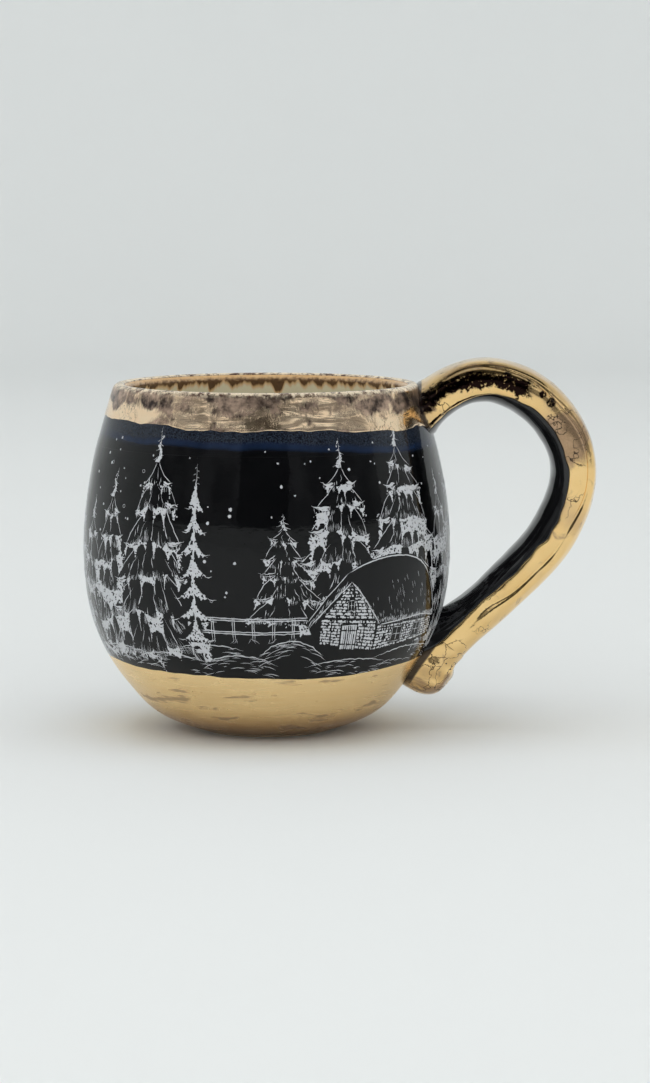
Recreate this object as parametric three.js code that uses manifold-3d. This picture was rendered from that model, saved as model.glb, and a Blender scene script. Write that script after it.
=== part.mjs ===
// A round-bellied stoneware mug with a pulled loop handle.
// Millimetres, +Z up. The origin is the centre of the flat foot, and the handle points along +X.
//
// The thrown clay body carries its fired coats as separate thin shells: a cream liner inside, a gold-lustred
// coat over the lip, a blue band, black glaze round the belly and a gold-lustred coat round the foot.
// The handle is a pulled clay strap with a gold-lustred coat outside and black glaze on its finger side,
// held at the top by a worked-in collar of clay and at the bottom by a pressed pad.
import * as THREE from "three";
import { mergeVertices } from "three/addons/utils/BufferGeometryUtils.js";
import Module from "manifold-3d";

const wasm = await Module();
wasm.setup();

// Body: the glazed outer surface from the edge of the foot to the start of the lip, as [radius, height].
const OUTER_WALL = [
  [17.5, 0],
  [29.2, 4.6],
  [36.5, 11.4],
  [44.9, 23.8],
  [49.3, 39.5],
  [49.8, 57],
  [46.9, 76],
  [41.7, 93.3],
];
const FOOT_WALL = 6; // wall thickness over the foot
const LIP_WALL = 3.8; // wall thickness just under the lip
const GLAZE = 0.6; // thickness of every fired coat
const GAP = 0.3; // slip line left between the handle's pieces and what they sit on

// Heights on the outside where one coat ends and the next begins, and how far the lip's coat runs inside.
const DRY_FOOT_TOP = 1;
const FOOT_LUSTRE_TOP = 19.4;
const BLACK_TOP = 80.5;
const BLUE_TOP = 84.6;
const LIP_COAT_INSIDE = 7;

// Handle: its centreline in the XZ plane, from inside the upper wall to the pad at the tail.
const HANDLE_LINE = [
  [36, 79],
  [43.6, 88.2],
  [50, 93.7],
  [58.3, 95.3],
  [66.4, 93.8],
  [73.6, 90],
  [79.2, 84],
  [82.8, 77],
  [83.9, 69.5],
  [82.6, 61.8],
  [79, 54.6],
  [73.6, 47.8],
  [67.2, 41.2],
  [60.4, 34.8],
  [53.6, 28.6],
  [48.2, 22],
  [45.6, 16.6],
];
const STRAP_HALF_WIDTHS = [12.6, 11.2, 10.6, 10.2, 9.4, 8.4]; // across the strap, evenly along its length
const STRAP_HALF_DEPTHS = [6.9, 6.1, 6.2, 6.3, 6.0, 5.7]; // from the finger side to the back
const SECTION_POWER = 2.5; // 2 is an ellipse, and more is squarer
const SECTION_SIDES = 20;
const BLACK_WRAP_DEG = 26; // how far the finger side's black glaze stops short of the strap's widest line
const COAT_SHARE = GLAZE / 6.2; // the coat's thickness as a share of the strap's half depth
const GAP_SHARE = GAP / 6.2;
const CORE_END = 0.99; // where the strap's clay ends in the tail's pad, and where its coats do
const COAT_END = 0.98;

const COLLAR_END = 0.135; // how far along the centreline the collar reaches
const COLLAR_SIZES = [1.34, 1.3, 1.2, 1.1, 1.03]; // its section against the strap's, from the wall outward
const PAD_CENTRE = [45.2, 15.2];
const PAD_RADII = [6.2, 9.2, 6.4];
const PAD_TILT_DEG = 24;

const LATHE_SEGMENTS = 48;
const STRAP_STEPS = 28;

const materials = {
  clay: material(0xb9a58c, 0.85),
  cream: material(0xe9dfc4, 0.15),
  gold: material(0xd2a04c, 0.2, 1),
  blue: material(0x1a2c4e, 0.12),
  black: material(0x0c0d10, 0.08),
};

function material(color, roughness, metalness = 0) {
  return new THREE.MeshStandardMaterial({ color, roughness, metalness });
}

// ---- The body's surface ------------------------------------------------------------------------------

const outerCurve = new THREE.SplineCurve(
  OUTER_WALL.map(([r, z]) => new THREE.Vector2(r, z)),
);

function outwardNormal(u) {
  const along = outerCurve.getTangent(u);
  return new THREE.Vector2(along.y, -along.x);
}

function wallThickness(u) {
  return THREE.MathUtils.lerp(FOOT_WALL, LIP_WALL, u);
}

// A point of the wall's outline, at a depth below the glazed surface. The place runs from 0 at the foot's edge
// to 1 under the lip outside, to 2 under the lip inside, and to 3 at the foot's radius inside.
function outline(place, depth) {
  if (place <= 1) {
    return outerCurve
      .getPoint(place)
      .addScaledVector(outwardNormal(place), -depth);
  }
  if (place < 2) {
    const normal = outwardNormal(1);
    const along = outerCurve.getTangent(1);
    const radius = LIP_WALL / 2;
    const turn = (place - 1) * Math.PI;
    return outerCurve
      .getPoint(1)
      .addScaledVector(normal, -radius + (radius - depth) * Math.cos(turn))
      .addScaledVector(along, (radius - depth) * Math.sin(turn));
  }
  const u = 3 - place;
  return outerCurve
    .getPoint(u)
    .addScaledVector(outwardNormal(u), depth - wallThickness(u));
}

// The place on the outside where the glazed surface reaches a height.
function placeAtHeight(height) {
  let [low, high] = [0, 1];
  for (let i = 0; i < 40; i++) {
    const middle = (low + high) / 2;
    if (outerCurve.getPoint(middle).y < height) low = middle;
    else high = middle;
  }
  return (low + high) / 2;
}

function evenly(from, to, steps) {
  return Array.from(
    { length: steps + 1 },
    (_, i) => from + ((to - from) * i) / steps,
  );
}

const footTop = placeAtHeight(DRY_FOOT_TOP);
const footLustreTop = placeAtHeight(FOOT_LUSTRE_TOP);
const blackTop = placeAtHeight(BLACK_TOP);
const blueTop = placeAtHeight(BLUE_TOP);
const lipCoatEnd = 2 + LIP_COAT_INSIDE / outerCurve.getLength();

// The places that each coat covers. Neighbours share their end place, so that their faces meet exactly.
const coats = {
  foot_lustre_glaze: evenly(footTop, footLustreTop, 6),
  black_wall_glaze: evenly(footLustreTop, blackTop, 9),
  blue_glaze_band: evenly(blackTop, blueTop, 2),
  rim_lustre_glaze: [
    ...evenly(blueTop, 1, 3),
    ...evenly(1, 2, 6).slice(1),
    ...evenly(2, lipCoatEnd, 2).slice(1),
  ],
  liner_glaze: evenly(lipCoatEnd, 3, 12),
};

// ---- Solids ------------------------------------------------------------------------------------------

// A solid of revolution about +Z from a profile of Vector2(radius, height).
function turned(profile) {
  const geometry = new THREE.LatheGeometry(profile, LATHE_SEGMENTS);
  return solidOf(geometry.rotateX(Math.PI / 2));
}

// The manifold solid of a closed geometry, turned the right way out.
function solidOf(geometry) {
  const bare = geometry.clone().deleteAttribute("normal").deleteAttribute("uv");
  const merged = mergeVertices(bare, 1e-5);
  const mesh = {
    numProp: 3,
    vertProperties: merged.attributes.position.array,
    triVerts: new Uint32Array(merged.index.array),
  };
  const made = new wasm.Manifold(new wasm.Mesh(mesh));
  if (made.volume() > 0) return made;
  for (let i = 0; i < mesh.triVerts.length; i += 3) {
    const first = mesh.triVerts[i];
    mesh.triVerts[i] = mesh.triVerts[i + 1];
    mesh.triVerts[i + 1] = first;
  }
  return new wasm.Manifold(new wasm.Mesh(mesh));
}

function onAxis(height) {
  return new THREE.Vector2(0, height);
}

// A coat: its glazed surface and its clay side, closed at both ends.
function coat(places) {
  const outside = places.map((place) => outline(place, 0));
  const clayside = places.map((place) => outline(place, GLAZE)).reverse();
  if (places.at(-1) < 3) return turned([...outside, ...clayside, outside[0]]);
  // The liner closes across the floor instead, on the axis.
  const floor = [
    onAxis(outside.at(-1).y),
    onAxis(clayside[0].y),
  ];
  return turned([...outside, ...floor, ...clayside, outside[0]]);
}

// The clay of the body: a dry flat foot, then everything below the coats.
function clayBody() {
  const glazed = Object.values(coats).flat();
  const places = glazed.filter((place, i) => place !== glazed[i - 1]);
  const covered = places.map((place) => outline(place, GLAZE));
  const foot = [onAxis(0), outline(0, 0), outline(footTop, 0)];
  return turned([...foot, ...covered, onAxis(covered.at(-1).y)]);
}

// The body without its hollow, with its surface at a depth below the glazed one: it trims the handle's roots.
function filledBody(depth) {
  const places = [
    ...evenly(0, footLustreTop, 8),
    ...evenly(footLustreTop, 1, 16).slice(1),
    ...evenly(1, 1.5, 4).slice(1),
  ];
  const wall = places.map((place) => outline(place, depth));
  return turned([onAxis(wall[0].y), ...wall, onAxis(wall.at(-1).y)]);
}

// ---- The handle --------------------------------------------------------------------------------------

const handleLine = new THREE.CatmullRomCurve3(
  HANDLE_LINE.map(([x, z]) => new THREE.Vector3(x, 0, z)),
  false,
  "catmullrom",
  0.5,
);

// A value from a short list that is spread evenly over 0 to 1, read smoothly between its entries.
function readAlong(list, t) {
  const at = THREE.MathUtils.clamp(t, 0, 1) * (list.length - 1);
  const i = Math.min(Math.floor(at), list.length - 2);
  const ease = THREE.MathUtils.smoothstep(at - i, 0, 1);
  return THREE.MathUtils.lerp(list[i], list[i + 1], ease);
}

// A point of the strap's rounded-square section, for a strap 2 wide and 2 deep. 90 degrees is the strap's back.
function sectionPoint(degrees, size) {
  const angle = THREE.MathUtils.degToRad(degrees);
  const rounded = (value) =>
    Math.sign(value) * Math.abs(value) ** (2 / SECTION_POWER);
  return new THREE.Vector2(
    size * rounded(Math.cos(angle)),
    size * rounded(Math.sin(angle)),
  );
}

// A solid swept along the handle from its start to a share of its length, scaled to the strap at each step.
function swept(points, end, steps, sizes = [1, 1]) {
  const geometry = new THREE.ExtrudeGeometry(new THREE.Shape(points), {
    depth: 1,
    steps,
    bevelEnabled: false,
  });
  const place = geometry.attributes.position;
  for (let i = 0; i < place.count; i++) {
    const t = end * place.getZ(i);
    const centre = handleLine.getPointAt(t);
    const along = handleLine.getTangentAt(t);
    const size = readAlong(sizes, place.getZ(i));
    const across = place.getX(i) * readAlong(STRAP_HALF_WIDTHS, t) * size;
    const out = place.getY(i) * readAlong(STRAP_HALF_DEPTHS, t) * size;
    place.setXYZ(i, centre.x - along.z * out, across, centre.z + along.x * out);
  }
  return solidOf(geometry);
}

function wholeSection(size) {
  return evenly(0, 360, SECTION_SIDES)
    .slice(1)
    .map((angle) => sectionPoint(angle, size));
}

function strapSolid(size, end) {
  return swept(wholeSection(size), end, STRAP_STEPS);
}

// The part of the strap's surroundings on its finger side, where the glaze is black.
function fingerSide() {
  const edge = evenly(180 + BLACK_WRAP_DEG, 360 - BLACK_WRAP_DEG, 6);
  const fan = edge.map((angle) => sectionPoint(angle, 1.3));
  return swept([new THREE.Vector2(0, 0), ...fan], 1, STRAP_STEPS);
}

function jointCollar() {
  return swept(wholeSection(1), COLLAR_END, 8, COLLAR_SIZES);
}

function tailPad() {
  const geometry = new THREE.SphereGeometry(1, 28, 18)
    .scale(...PAD_RADII)
    .rotateY(THREE.MathUtils.degToRad(PAD_TILT_DEG))
    .translate(PAD_CENTRE[0], 0, PAD_CENTRE[1]);
  return solidOf(geometry);
}

// ---- Assembly ----------------------------------------------------------------------------------------

const mug = new THREE.Group();

function addPiece(name, solid, finish) {
  const made = solid.getMesh();
  const geometry = new THREE.BufferGeometry();
  geometry.setAttribute(
    "position",
    new THREE.BufferAttribute(made.vertProperties, 3),
  );
  geometry.setIndex(new THREE.BufferAttribute(made.triVerts, 1));
  geometry.computeVertexNormals();
  const mesh = new THREE.Mesh(geometry, finish);
  mesh.name = name;
  mug.add(mesh);
}

// The body's coats stop clear of the strap's clay, but only the coats outside: the wall behind stays whole.
const coreClearance = strapSolid(1 - COAT_SHARE + GAP_SHARE, 1).subtract(filledBody(2 * GLAZE));
const coatedClearance = strapSolid(1 + GAP_SHARE, 1);
const clayTrim = filledBody(GLAZE - GAP);
const glazeTrim = filledBody(-GAP);

addPiece("stoneware_body", clayBody(), materials.clay);

const coatFinish = {
  foot_lustre_glaze: materials.gold,
  black_wall_glaze: materials.black,
  blue_glaze_band: materials.blue,
  rim_lustre_glaze: materials.gold,
  liner_glaze: materials.cream,
};
for (const [name, places] of Object.entries(coats)) {
  const solid = coat(places).subtract(coreClearance);
  addPiece(name, solid, coatFinish[name]);
}

const core = strapSolid(1 - COAT_SHARE, CORE_END);
const strap = core.subtract(clayTrim);
addPiece("handle_strap", strap, materials.clay);

const strapCoats = strapSolid(1, COAT_END).subtract(core).subtract(glazeTrim);
addPiece("handle_lustre_glaze", strapCoats.subtract(fingerSide()), materials.gold);
addPiece("handle_black_glaze", strapCoats.intersect(fingerSide()), materials.black);

const collar = jointCollar().subtract(coatedClearance).subtract(glazeTrim);
addPiece("upper_joint_collar", collar, materials.gold);

const pad = tailPad().subtract(coatedClearance).subtract(glazeTrim);
addPiece("lower_joint_pad", pad, materials.gold);

export default mug;
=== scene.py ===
"""A round-bellied stoneware mug: glossy black and blue glaze, gold lustre on its lip, foot and handle, a
cream liner with brown runs, and a winter landscape drawn round the belly in thin raised silver strokes.

Sizes of meshes and materials are in millimetres here; lights and the camera are placed in metres. Azimuths
are in radians from the front of the mug, -Y, towards the handle, +X.
"""
import math

import bmesh
import bpy
import numpy as np
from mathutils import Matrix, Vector


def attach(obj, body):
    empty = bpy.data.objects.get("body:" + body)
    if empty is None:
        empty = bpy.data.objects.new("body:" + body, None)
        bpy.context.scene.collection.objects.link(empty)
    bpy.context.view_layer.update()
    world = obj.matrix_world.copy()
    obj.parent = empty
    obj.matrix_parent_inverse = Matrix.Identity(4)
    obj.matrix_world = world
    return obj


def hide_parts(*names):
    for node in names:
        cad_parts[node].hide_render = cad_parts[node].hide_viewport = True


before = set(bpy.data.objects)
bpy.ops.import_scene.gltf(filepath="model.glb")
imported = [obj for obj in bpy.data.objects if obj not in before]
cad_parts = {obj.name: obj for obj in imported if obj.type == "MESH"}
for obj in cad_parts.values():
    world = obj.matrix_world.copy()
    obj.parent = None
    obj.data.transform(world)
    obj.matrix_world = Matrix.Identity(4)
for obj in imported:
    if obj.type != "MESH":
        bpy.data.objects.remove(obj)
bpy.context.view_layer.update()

MM = 0.001
TURN = 2 * math.pi

# ---- Driving sizes: the body's outline is the CAD model's, and the handle's line keeps near its strap's ----

OUTER_WALL = [
    (17.5, 0), (29.2, 4.6), (36.5, 11.4), (44.9, 23.8), (49.3, 39.5), (49.8, 57), (46.9, 76), (41.7, 93.3),
]
FOOT_WALL = 6.0
LIP_WALL = 3.8
FLOOR_SLOPE = 0.31  # how much the floor inside is dished
COAT = 0.45  # how deep a coat's hidden side lies
CLAY_DEPTH = COAT + 0.05
DRY_FOOT_TOP = 0.8
FOOT_LUSTRE_TOP = 19.4
BLACK_TOP = 78.5  # the black and blue coats meet here unseen: their material makes the blue band
RIM_LUSTRE_FOOT = 85.0
LIP_CREST = 1.62  # the place on the outline where the lip's coat ends and the liner begins

HANDLE_LINE = [
    (36, 80.6), (43.6, 88.4), (50, 93.4), (58.3, 96), (66.4, 94.6), (73.6, 90.4), (79.2, 84.1), (82.8, 77),
    (83.9, 69.5), (82.6, 61.8), (79, 54.6), (73.6, 47.8), (67.2, 41.2), (60.4, 34.8), (54.7, 29.4),
    (50.2, 24.6), (47, 20.8), (45.2, 17.8), (44, 14.8), (43.2, 12), (42.6, 9.3),
]
STRAP_HALF_WIDTHS = [11.8, 11.2, 10.6, 10.2, 9.4, 8.8]
STRAP_HALF_DEPTHS = [5.6, 6, 6.2, 6.3, 6.0, 5.6]
SECTION_POWER = 2.5  # 2 is an ellipse, and more is squarer
TAIL_CAP = 0.036  # the share of the strap's length that rounds off its tail
FILLETS = [1.3, 2, 2, 2, 2, 3.4]  # how far the clay swells where the strap meets the wall
FILLET_REACHES = [3.2, 2.8, 2.8, 2.8, 2.8, 3.6]
WALL_BITE = 2.0  # how deep the strap's root reaches into the wall
CREASE_ANGLES = [0.96, 0.96, 1.0, 1.25, 1.5, 1.5]  # from the middle of the back to the crease on each side
BORDER_ANGLES = [0.62, 0.75, 0.5, 0.28, 0.23, 0.2, 0.24, 0.26, 0.26, 1.5]  # how far the gold passes a side

COLUMNS = 288  # round the body
STRAP_ROWS = 420  # along the handle
STRAP_RADIUS = 8  # mm to the radian round the strap, about
BODY_RADIUS = 50  # mm to the radian round the body


# ---- Curves and soft random shapes ----


def between(values, at):
    """Which entry of a list each place comes after, and how far on from it the place lies, 0 to 1."""
    i = np.minimum(at.astype(int), len(values) - 2)
    return i, at - i


def catmull_rom(points, u):
    """Points at the parameters u, 0 to 1, of a smooth curve through a list of points."""
    points = np.asarray(points, float)
    i, w = between(points, np.clip(u, 0, 1) * (len(points) - 1))
    w = w[:, None]
    before = points[np.maximum(i - 1, 0)]
    start = points[i]
    end = points[i + 1]
    after = points[np.minimum(i + 2, len(points) - 1)]
    leave = (end - before) / 2
    arrive = (after - start) / 2
    cubic = 2 * start - 2 * end + leave + arrive
    square = -3 * start + 3 * end - 2 * leave - arrive
    return cubic * w**3 + square * w**2 + leave * w + start


def eased(values, share):
    """A value from a short list spread evenly over 0 to 1, read smoothly between its entries."""
    values = np.asarray(values, float)
    i, w = between(values, np.clip(share, 0, 1) * (len(values) - 1))
    w = w * w * (3 - 2 * w)
    return values[i] * (1 - w) + values[i + 1] * w


def softened(points, spread):
    """A row of points smoothed along its length, with its ends held."""
    reach = 3 * spread
    head = 2 * points[0] - points[reach:0:-1]
    tail = 2 * points[-1] - points[-2 : -reach - 2 : -1]
    padded = np.vstack([head, points, tail])
    weights = np.exp(-0.5 * (np.arange(-reach, reach + 1) / spread) ** 2)
    weights /= weights.sum()
    return np.stack([np.convolve(column, weights, "valid") for column in padded.T], 1)


def even_arc(points, count):
    """A row of points spread evenly along the same path, with the length of the path."""
    steps = np.linalg.norm(np.diff(points, axis=0), axis=1)
    along = np.concatenate([[0], np.cumsum(steps)])
    places = np.linspace(0, along[-1], count)
    return np.stack([np.interp(places, along, column) for column in points.T], 1), along[-1]


def unit(rows):
    return rows / np.linalg.norm(rows, axis=-1, keepdims=True)


class Path:
    """A smooth curve in a plane, near a few points, read by the share of its length."""

    def __init__(self, points, samples, spread, rows):
        curve = softened(catmull_rom(points, np.linspace(0, 1, samples)), spread)
        self.line, self.length = even_arc(curve, rows)
        self.ways = unit(np.gradient(self.line, axis=0))
        self.share = np.linspace(0, 1, rows)

    def at(self, share):
        return [np.interp(share, self.share, column) for column in self.line.T]

    def way(self, share):
        return [np.interp(share, self.share, column) for column in self.ways.T]


def ripple(seed, low, high):
    """A soft closed random wave round the mug, of low to high waves to the turn, mostly within -1 to 1."""
    rng = np.random.default_rng(seed)
    waves = np.arange(low, high + 1)
    phases = rng.uniform(0, TURN, len(waves))
    sizes = rng.uniform(0.5, 1, len(waves))
    sizes /= math.sqrt((sizes**2).sum() / 2) * 1.6
    turns = np.multiply.outer(azimuths, waves) + phases
    return (np.cos(turns) * sizes).sum(-1)


def dapple(seed, count, longest, shortest, circles=False):
    """A soft random field over two coordinates in mm, mostly within -1 to 1. With circles, the first
    coordinate is an azimuth and the field closes on itself."""
    rng = np.random.default_rng(seed)
    length = np.exp(rng.uniform(math.log(shortest), math.log(longest), count))
    turn = rng.uniform(0, math.pi, count)
    phase = rng.uniform(0, TURN, count)
    first = TURN / length * np.cos(turn)
    second = TURN / length * np.sin(turn)
    if circles:
        first = np.round(first * BODY_RADIUS)
    scale = 1 / math.sqrt(count / 2) / 1.6

    def at(a, b):
        a, b = np.broadcast_arrays(np.asarray(a, float), np.asarray(b, float))
        total = np.zeros(a.shape)
        for f, s, p in zip(first, second, phase):
            total += np.cos(a * f + b * s + p)
        return total * scale

    return at


# ---- The body's surface ----

azimuths = np.arange(COLUMNS) * TURN / COLUMNS
wall = Path(OUTER_WALL, 700, 14, 700)
slow_swell = dapple(3, 9, 160, 60, circles=True)
hand_marks = dapple(4, 26, 34, 11, circles=True)


def outline(place, depth):
    """Radius and height at a depth below the glazed surface. The place runs from 0 at the foot's edge to 1
    under the lip outside, 2 under the lip inside, 3 at the edge of the floor inside, and 4 at its middle."""
    place, depth = np.broadcast_arrays(np.asarray(place, float), np.asarray(depth, float))
    share = np.where(place <= 1, place, np.where(place < 2, 1.0, 3 - place))
    share = np.clip(share, 0, 1)
    radius, height = wall.at(share)
    along_r, along_z = wall.way(share)
    thickness = FOOT_WALL + (LIP_WALL - FOOT_WALL) * share
    turn = (np.clip(place, 1, 2) - 1) * math.pi
    half = LIP_WALL / 2
    lip_out = -half + (half - depth) * np.cos(turn)
    lip_up = np.where((place > 1) & (place < 2), (half - depth) * np.sin(turn), 0)
    out = np.where(place <= 1, -depth, np.where(place < 2, lip_out, depth - thickness))
    radius = radius + out * along_z + lip_up * along_r
    height = height - out * along_r + lip_up * along_z
    to_middle = np.clip(4 - place, 0, 1)
    dish = FLOOR_SLOPE / 2 * radius * (1 - to_middle**2)
    on_floor = place > 3
    return np.where(on_floor, radius * to_middle, radius), np.where(on_floor, height - dish, height)


def place_at(height):
    """The place outside where the surface reaches a height."""
    return np.interp(height, wall.line[:, 1], wall.share)


def thrown(azimuth, height):
    """How far the potter's hands left the wall off its true circle, in mm."""
    rings = np.sin(height * 0.93 + 0.8 * np.sin(azimuth) + 1.3 * np.sin(height * 0.13))
    fade = np.clip(height / 10, 0, 1)
    return fade * (0.22 * slow_swell(azimuth, height) + 0.05 * hand_marks(azimuth, height) + 0.012 * rings)


def on_body(azimuth, place, lift):
    """Points of the body's surface, raised by a lift in mm."""
    azimuth, place, lift = np.broadcast_arrays(azimuth, place, lift)
    radius, height = outline(place, -lift)
    radius = radius + thrown(azimuth, height) * np.clip(radius / 12, 0, 1)
    return ring_points(radius, azimuth, height)


def ring_points(radius, azimuth, height):
    radius, azimuth, height = np.broadcast_arrays(radius, azimuth, height)
    return np.stack([radius * np.sin(azimuth), -radius * np.cos(azimuth), height], -1)


# ---- Meshes ----


def grid_faces(rows, columns, wrap_rows, wrap_columns):
    """The faces of a grid of points, which may close on itself either way."""
    r = np.arange(rows if wrap_rows else rows - 1)
    c = np.arange(columns if wrap_columns else columns - 1)
    r, c = np.meshgrid(r, c, indexing="ij")
    r2 = (r + 1) % rows
    c2 = (c + 1) % columns
    corners = [r * columns + c, r * columns + c2, r2 * columns + c2, r2 * columns + c]
    return np.stack(corners, -1).reshape(-1, 4)


def tube_faces(rows, columns):
    """The faces of a closed tube with a flat face on each end."""
    last = (rows - 1) * columns
    ends = [list(range(columns))[::-1], list(range(last, last + columns))]
    return [*grid_faces(rows, columns, False, True).tolist(), *ends]


def add_object(name, points, faces, material):
    """A smooth-shaded object from points in mm and faces."""
    mesh = bpy.data.meshes.new(name)
    mesh.from_pydata(np.asarray(points).reshape(-1, 3) * MM, [], faces)
    mesh.update()
    mesh.polygons.foreach_set("use_smooth", np.ones(len(mesh.polygons), bool))
    mesh.materials.append(material)
    obj = bpy.data.objects.new(name, mesh)
    bpy.context.collection.objects.link(obj)
    return obj


def piece(obj, slot, *nodes):
    """Puts a piece on the mug's root, so that it rides on the mug, and hides the CAD nodes that it stands
    for. The slot is not used.
    """
    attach(obj, "root")
    if nodes:
        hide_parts(*nodes)


def merge_poles(obj):
    """Joins the points that lie on top of each other in the middle of a turned piece."""
    bm = bmesh.new()
    bm.from_mesh(obj.data)
    bmesh.ops.remove_doubles(bm, verts=bm.verts, dist=1e-7)
    bmesh.ops.dissolve_degenerate(bm, edges=bm.edges, dist=1e-8)
    bm.to_mesh(obj.data)
    bm.free()
    return obj


END_ROWS = np.array([0.02, 0.05, 0.1, 0.18, 0.3, 0.5]) * 6  # extra rows near a coat's ends, in steps of a row
ROUNDED_EDGE = 0.5  # mm over which a coat's edge rounds down where it lies over its neighbour
FEATHERED_EDGE = 1.5  # and where it thins out to meet it
HIDDEN_STEP = 12  # rows of the glazed side to each row of the hidden side


def turned_shell(name, lower, upper, rows, material, raised=0.0, ends_raised=(False, False)):
    """A coat from one border to another, given as a place for each azimuth: its glazed side, raised a little
    with rounded edges where it lies over its neighbour, and its hidden side."""
    share = np.linspace(0, 1, rows)
    near_ends = END_ROWS / rows
    share = np.unique(np.concatenate([share, near_ends, 1 - near_ends]))[:, None]
    place = lower + (upper - lower) * share
    length = np.abs(upper - lower) * wall.length
    rise = np.full(place.shape, raised)
    for rounded, distance in zip(ends_raised, (share * length, (1 - share) * length)):
        if rounded:
            rise = np.minimum(rise, raised * np.sqrt(np.clip(distance / ROUNDED_EDGE, 0, 1)))
        else:
            rise = np.minimum(rise, raised * np.clip(distance / FEATHERED_EDGE, 0, 1))
    glazed = on_body(azimuths, place, rise)
    hidden = on_body(azimuths, place[::-HIDDEN_STEP], -COAT)
    points = np.concatenate([glazed, hidden])
    return add_object(name, points, grid_faces(len(points), COLUMNS, True, True), material)


# ---- Materials ----


class Field:
    """A value that varies over a surface: the output of one of a material's nodes."""

    def __init__(self, shader, socket):
        self.shader = shader
        self.socket = socket

    def __add__(self, other):
        return self.shader.math("ADD", self, other)

    def __sub__(self, other):
        return self.shader.math("SUBTRACT", self, other)

    def __rsub__(self, other):
        return self.shader.math("SUBTRACT", other, self)

    def __mul__(self, other):
        return self.shader.math("MULTIPLY", self, other)


class Shader:
    """A short way to write a material's nodes, with lengths in mm."""

    def __init__(self, name):
        self.material = bpy.data.materials.new(name)
        self.material.use_nodes = True
        self.tree = self.material.node_tree
        self.tree.nodes.clear()
        self.position = self.vector("MULTIPLY", self.node("TexCoord").outputs["Object"], (1000, 1000, 1000))
        parted = self.node("SeparateXYZ", self.position)
        self.x, self.y, self.z = [Field(self, axis) for axis in parted.outputs]

    def node(self, kind, *in_order, **by_name):
        """A node. Names that begin with _ are its settings, and __ stands for a space in a socket's name."""
        made = self.tree.nodes.new("ShaderNode" + kind)
        for key, value in by_name.items():
            if key.startswith("_"):
                setattr(made, key[1:], value)
            else:
                self.feed(made.inputs[key.replace("__", " ")], value)
        for socket, value in zip(made.inputs, in_order):
            self.feed(socket, value)
        return made

    def feed(self, socket, value):
        if isinstance(value, Field):
            value = value.socket
        if isinstance(value, bpy.types.NodeSocket):
            self.tree.links.new(value, socket)
        elif socket.type == "RGBA":
            socket.default_value = (*value, 1)
        else:
            socket.default_value = value

    def math(self, operation, *values, clamp=False):
        return Field(self, self.node("Math", *values, _operation=operation, _use_clamp=clamp).outputs[0])

    def vector(self, operation, *values):
        return self.node("VectorMath", *values, _operation=operation).outputs[0]

    def larger(self, a, b):
        return self.math("MAXIMUM", a, b)

    def hypot(self, a, b):
        return self.math("SQRT", a * a + b * b)

    def noise(self, size, detail=2.0, roughness=0.5, stretch=(1, 1, 1), warp=0.0, seed=0.0):
        """Noise of 0 to 1 with features of about a size in mm, stretched along X, Y and Z. The seed moves it
        along a slanted line."""
        vector = self.vector("MULTIPLY", self.position, tuple(1 / (size * k) for k in stretch))
        vector = self.vector("ADD", vector, (seed, seed * 1.7, seed * 0.6))
        return self.noise_at(vector, Detail=detail, Roughness=roughness, Distortion=warp)

    def noise_at(self, vector, output="Fac", **settings):
        return Field(self, self.node("TexNoise", Vector=vector, Scale=1.0, **settings).outputs[output])

    def cells_at(self, vector, **settings):
        """How far each point is from the middle of its cell, or from the cell's edge if a setting says so."""
        return Field(self, self.node("TexVoronoi", Vector=vector, Scale=1.0, **settings).outputs["Distance"])

    def cracks(self, size, width, warp, seed):
        """Thin crack lines: 1 on a line and 0 off it, for cells of about a size in mm."""
        bend = self.noise_at(self.vector("MULTIPLY", self.position, (1.6 / size,) * 3), "Color", Detail=3.0)
        bent = self.vector("MULTIPLY", bend, (warp,) * 3)
        bent = self.vector("ADD", self.vector("MULTIPLY", self.position, (1 / size,) * 3), bent)
        bent = self.vector("ADD", bent, (seed,) * 3)
        return self.ramp(self.cells_at(bent, _feature="DISTANCE_TO_EDGE"), width, 0.0)

    def ramp(self, value, low, high):
        """0 at low and 1 at high, smoothly, for low above or below high."""
        ends = (low, high, 0.0, 1.0) if low <= high else (high, low, 1.0, 0.0)
        made = self.node("MapRange", value, *ends, _interpolation_type="SMOOTHSTEP")
        return Field(self, made.outputs["Result"])

    def span(self, value, low, high):
        """Turns a value of 0 to 1 into one of low to high."""
        return value * (high - low) + low

    def mix(self, share, a, b):
        """From colour a, where the share is 0, to colour b, where it is 1."""
        made = self.node("Mix", share, _data_type="RGBA")
        self.feed(made.inputs[6], a)
        self.feed(made.inputs[7], b)
        return Field(self, made.outputs[2])

    def bumps(self, *layers):
        """A normal with layers of bumps: each a height field, how high it stands in mm, and its strength."""
        under = {}
        for height, distance, strength in layers:
            made = self.node("Bump", Height=height, Distance=distance * MM, Strength=strength, **under)
            under = {"Normal": made.outputs["Normal"]}
        return under["Normal"]

    def distance_to(self, across, height):
        """How far a point is, seen from the front, from a place in the handle's plane."""
        return self.hypot(self.x - across, self.z - height)

    def finish(self, **inputs):
        self.node("OutputMaterial", self.node("BsdfPrincipled", **inputs).outputs[0])
        return self.material


BLUE_FOOT = (79.3, 80.7)  # the heights over which black turns blue
SLATE_FOOT = (80.9, 82.3)  # and blue turns a grainy slate


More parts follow.
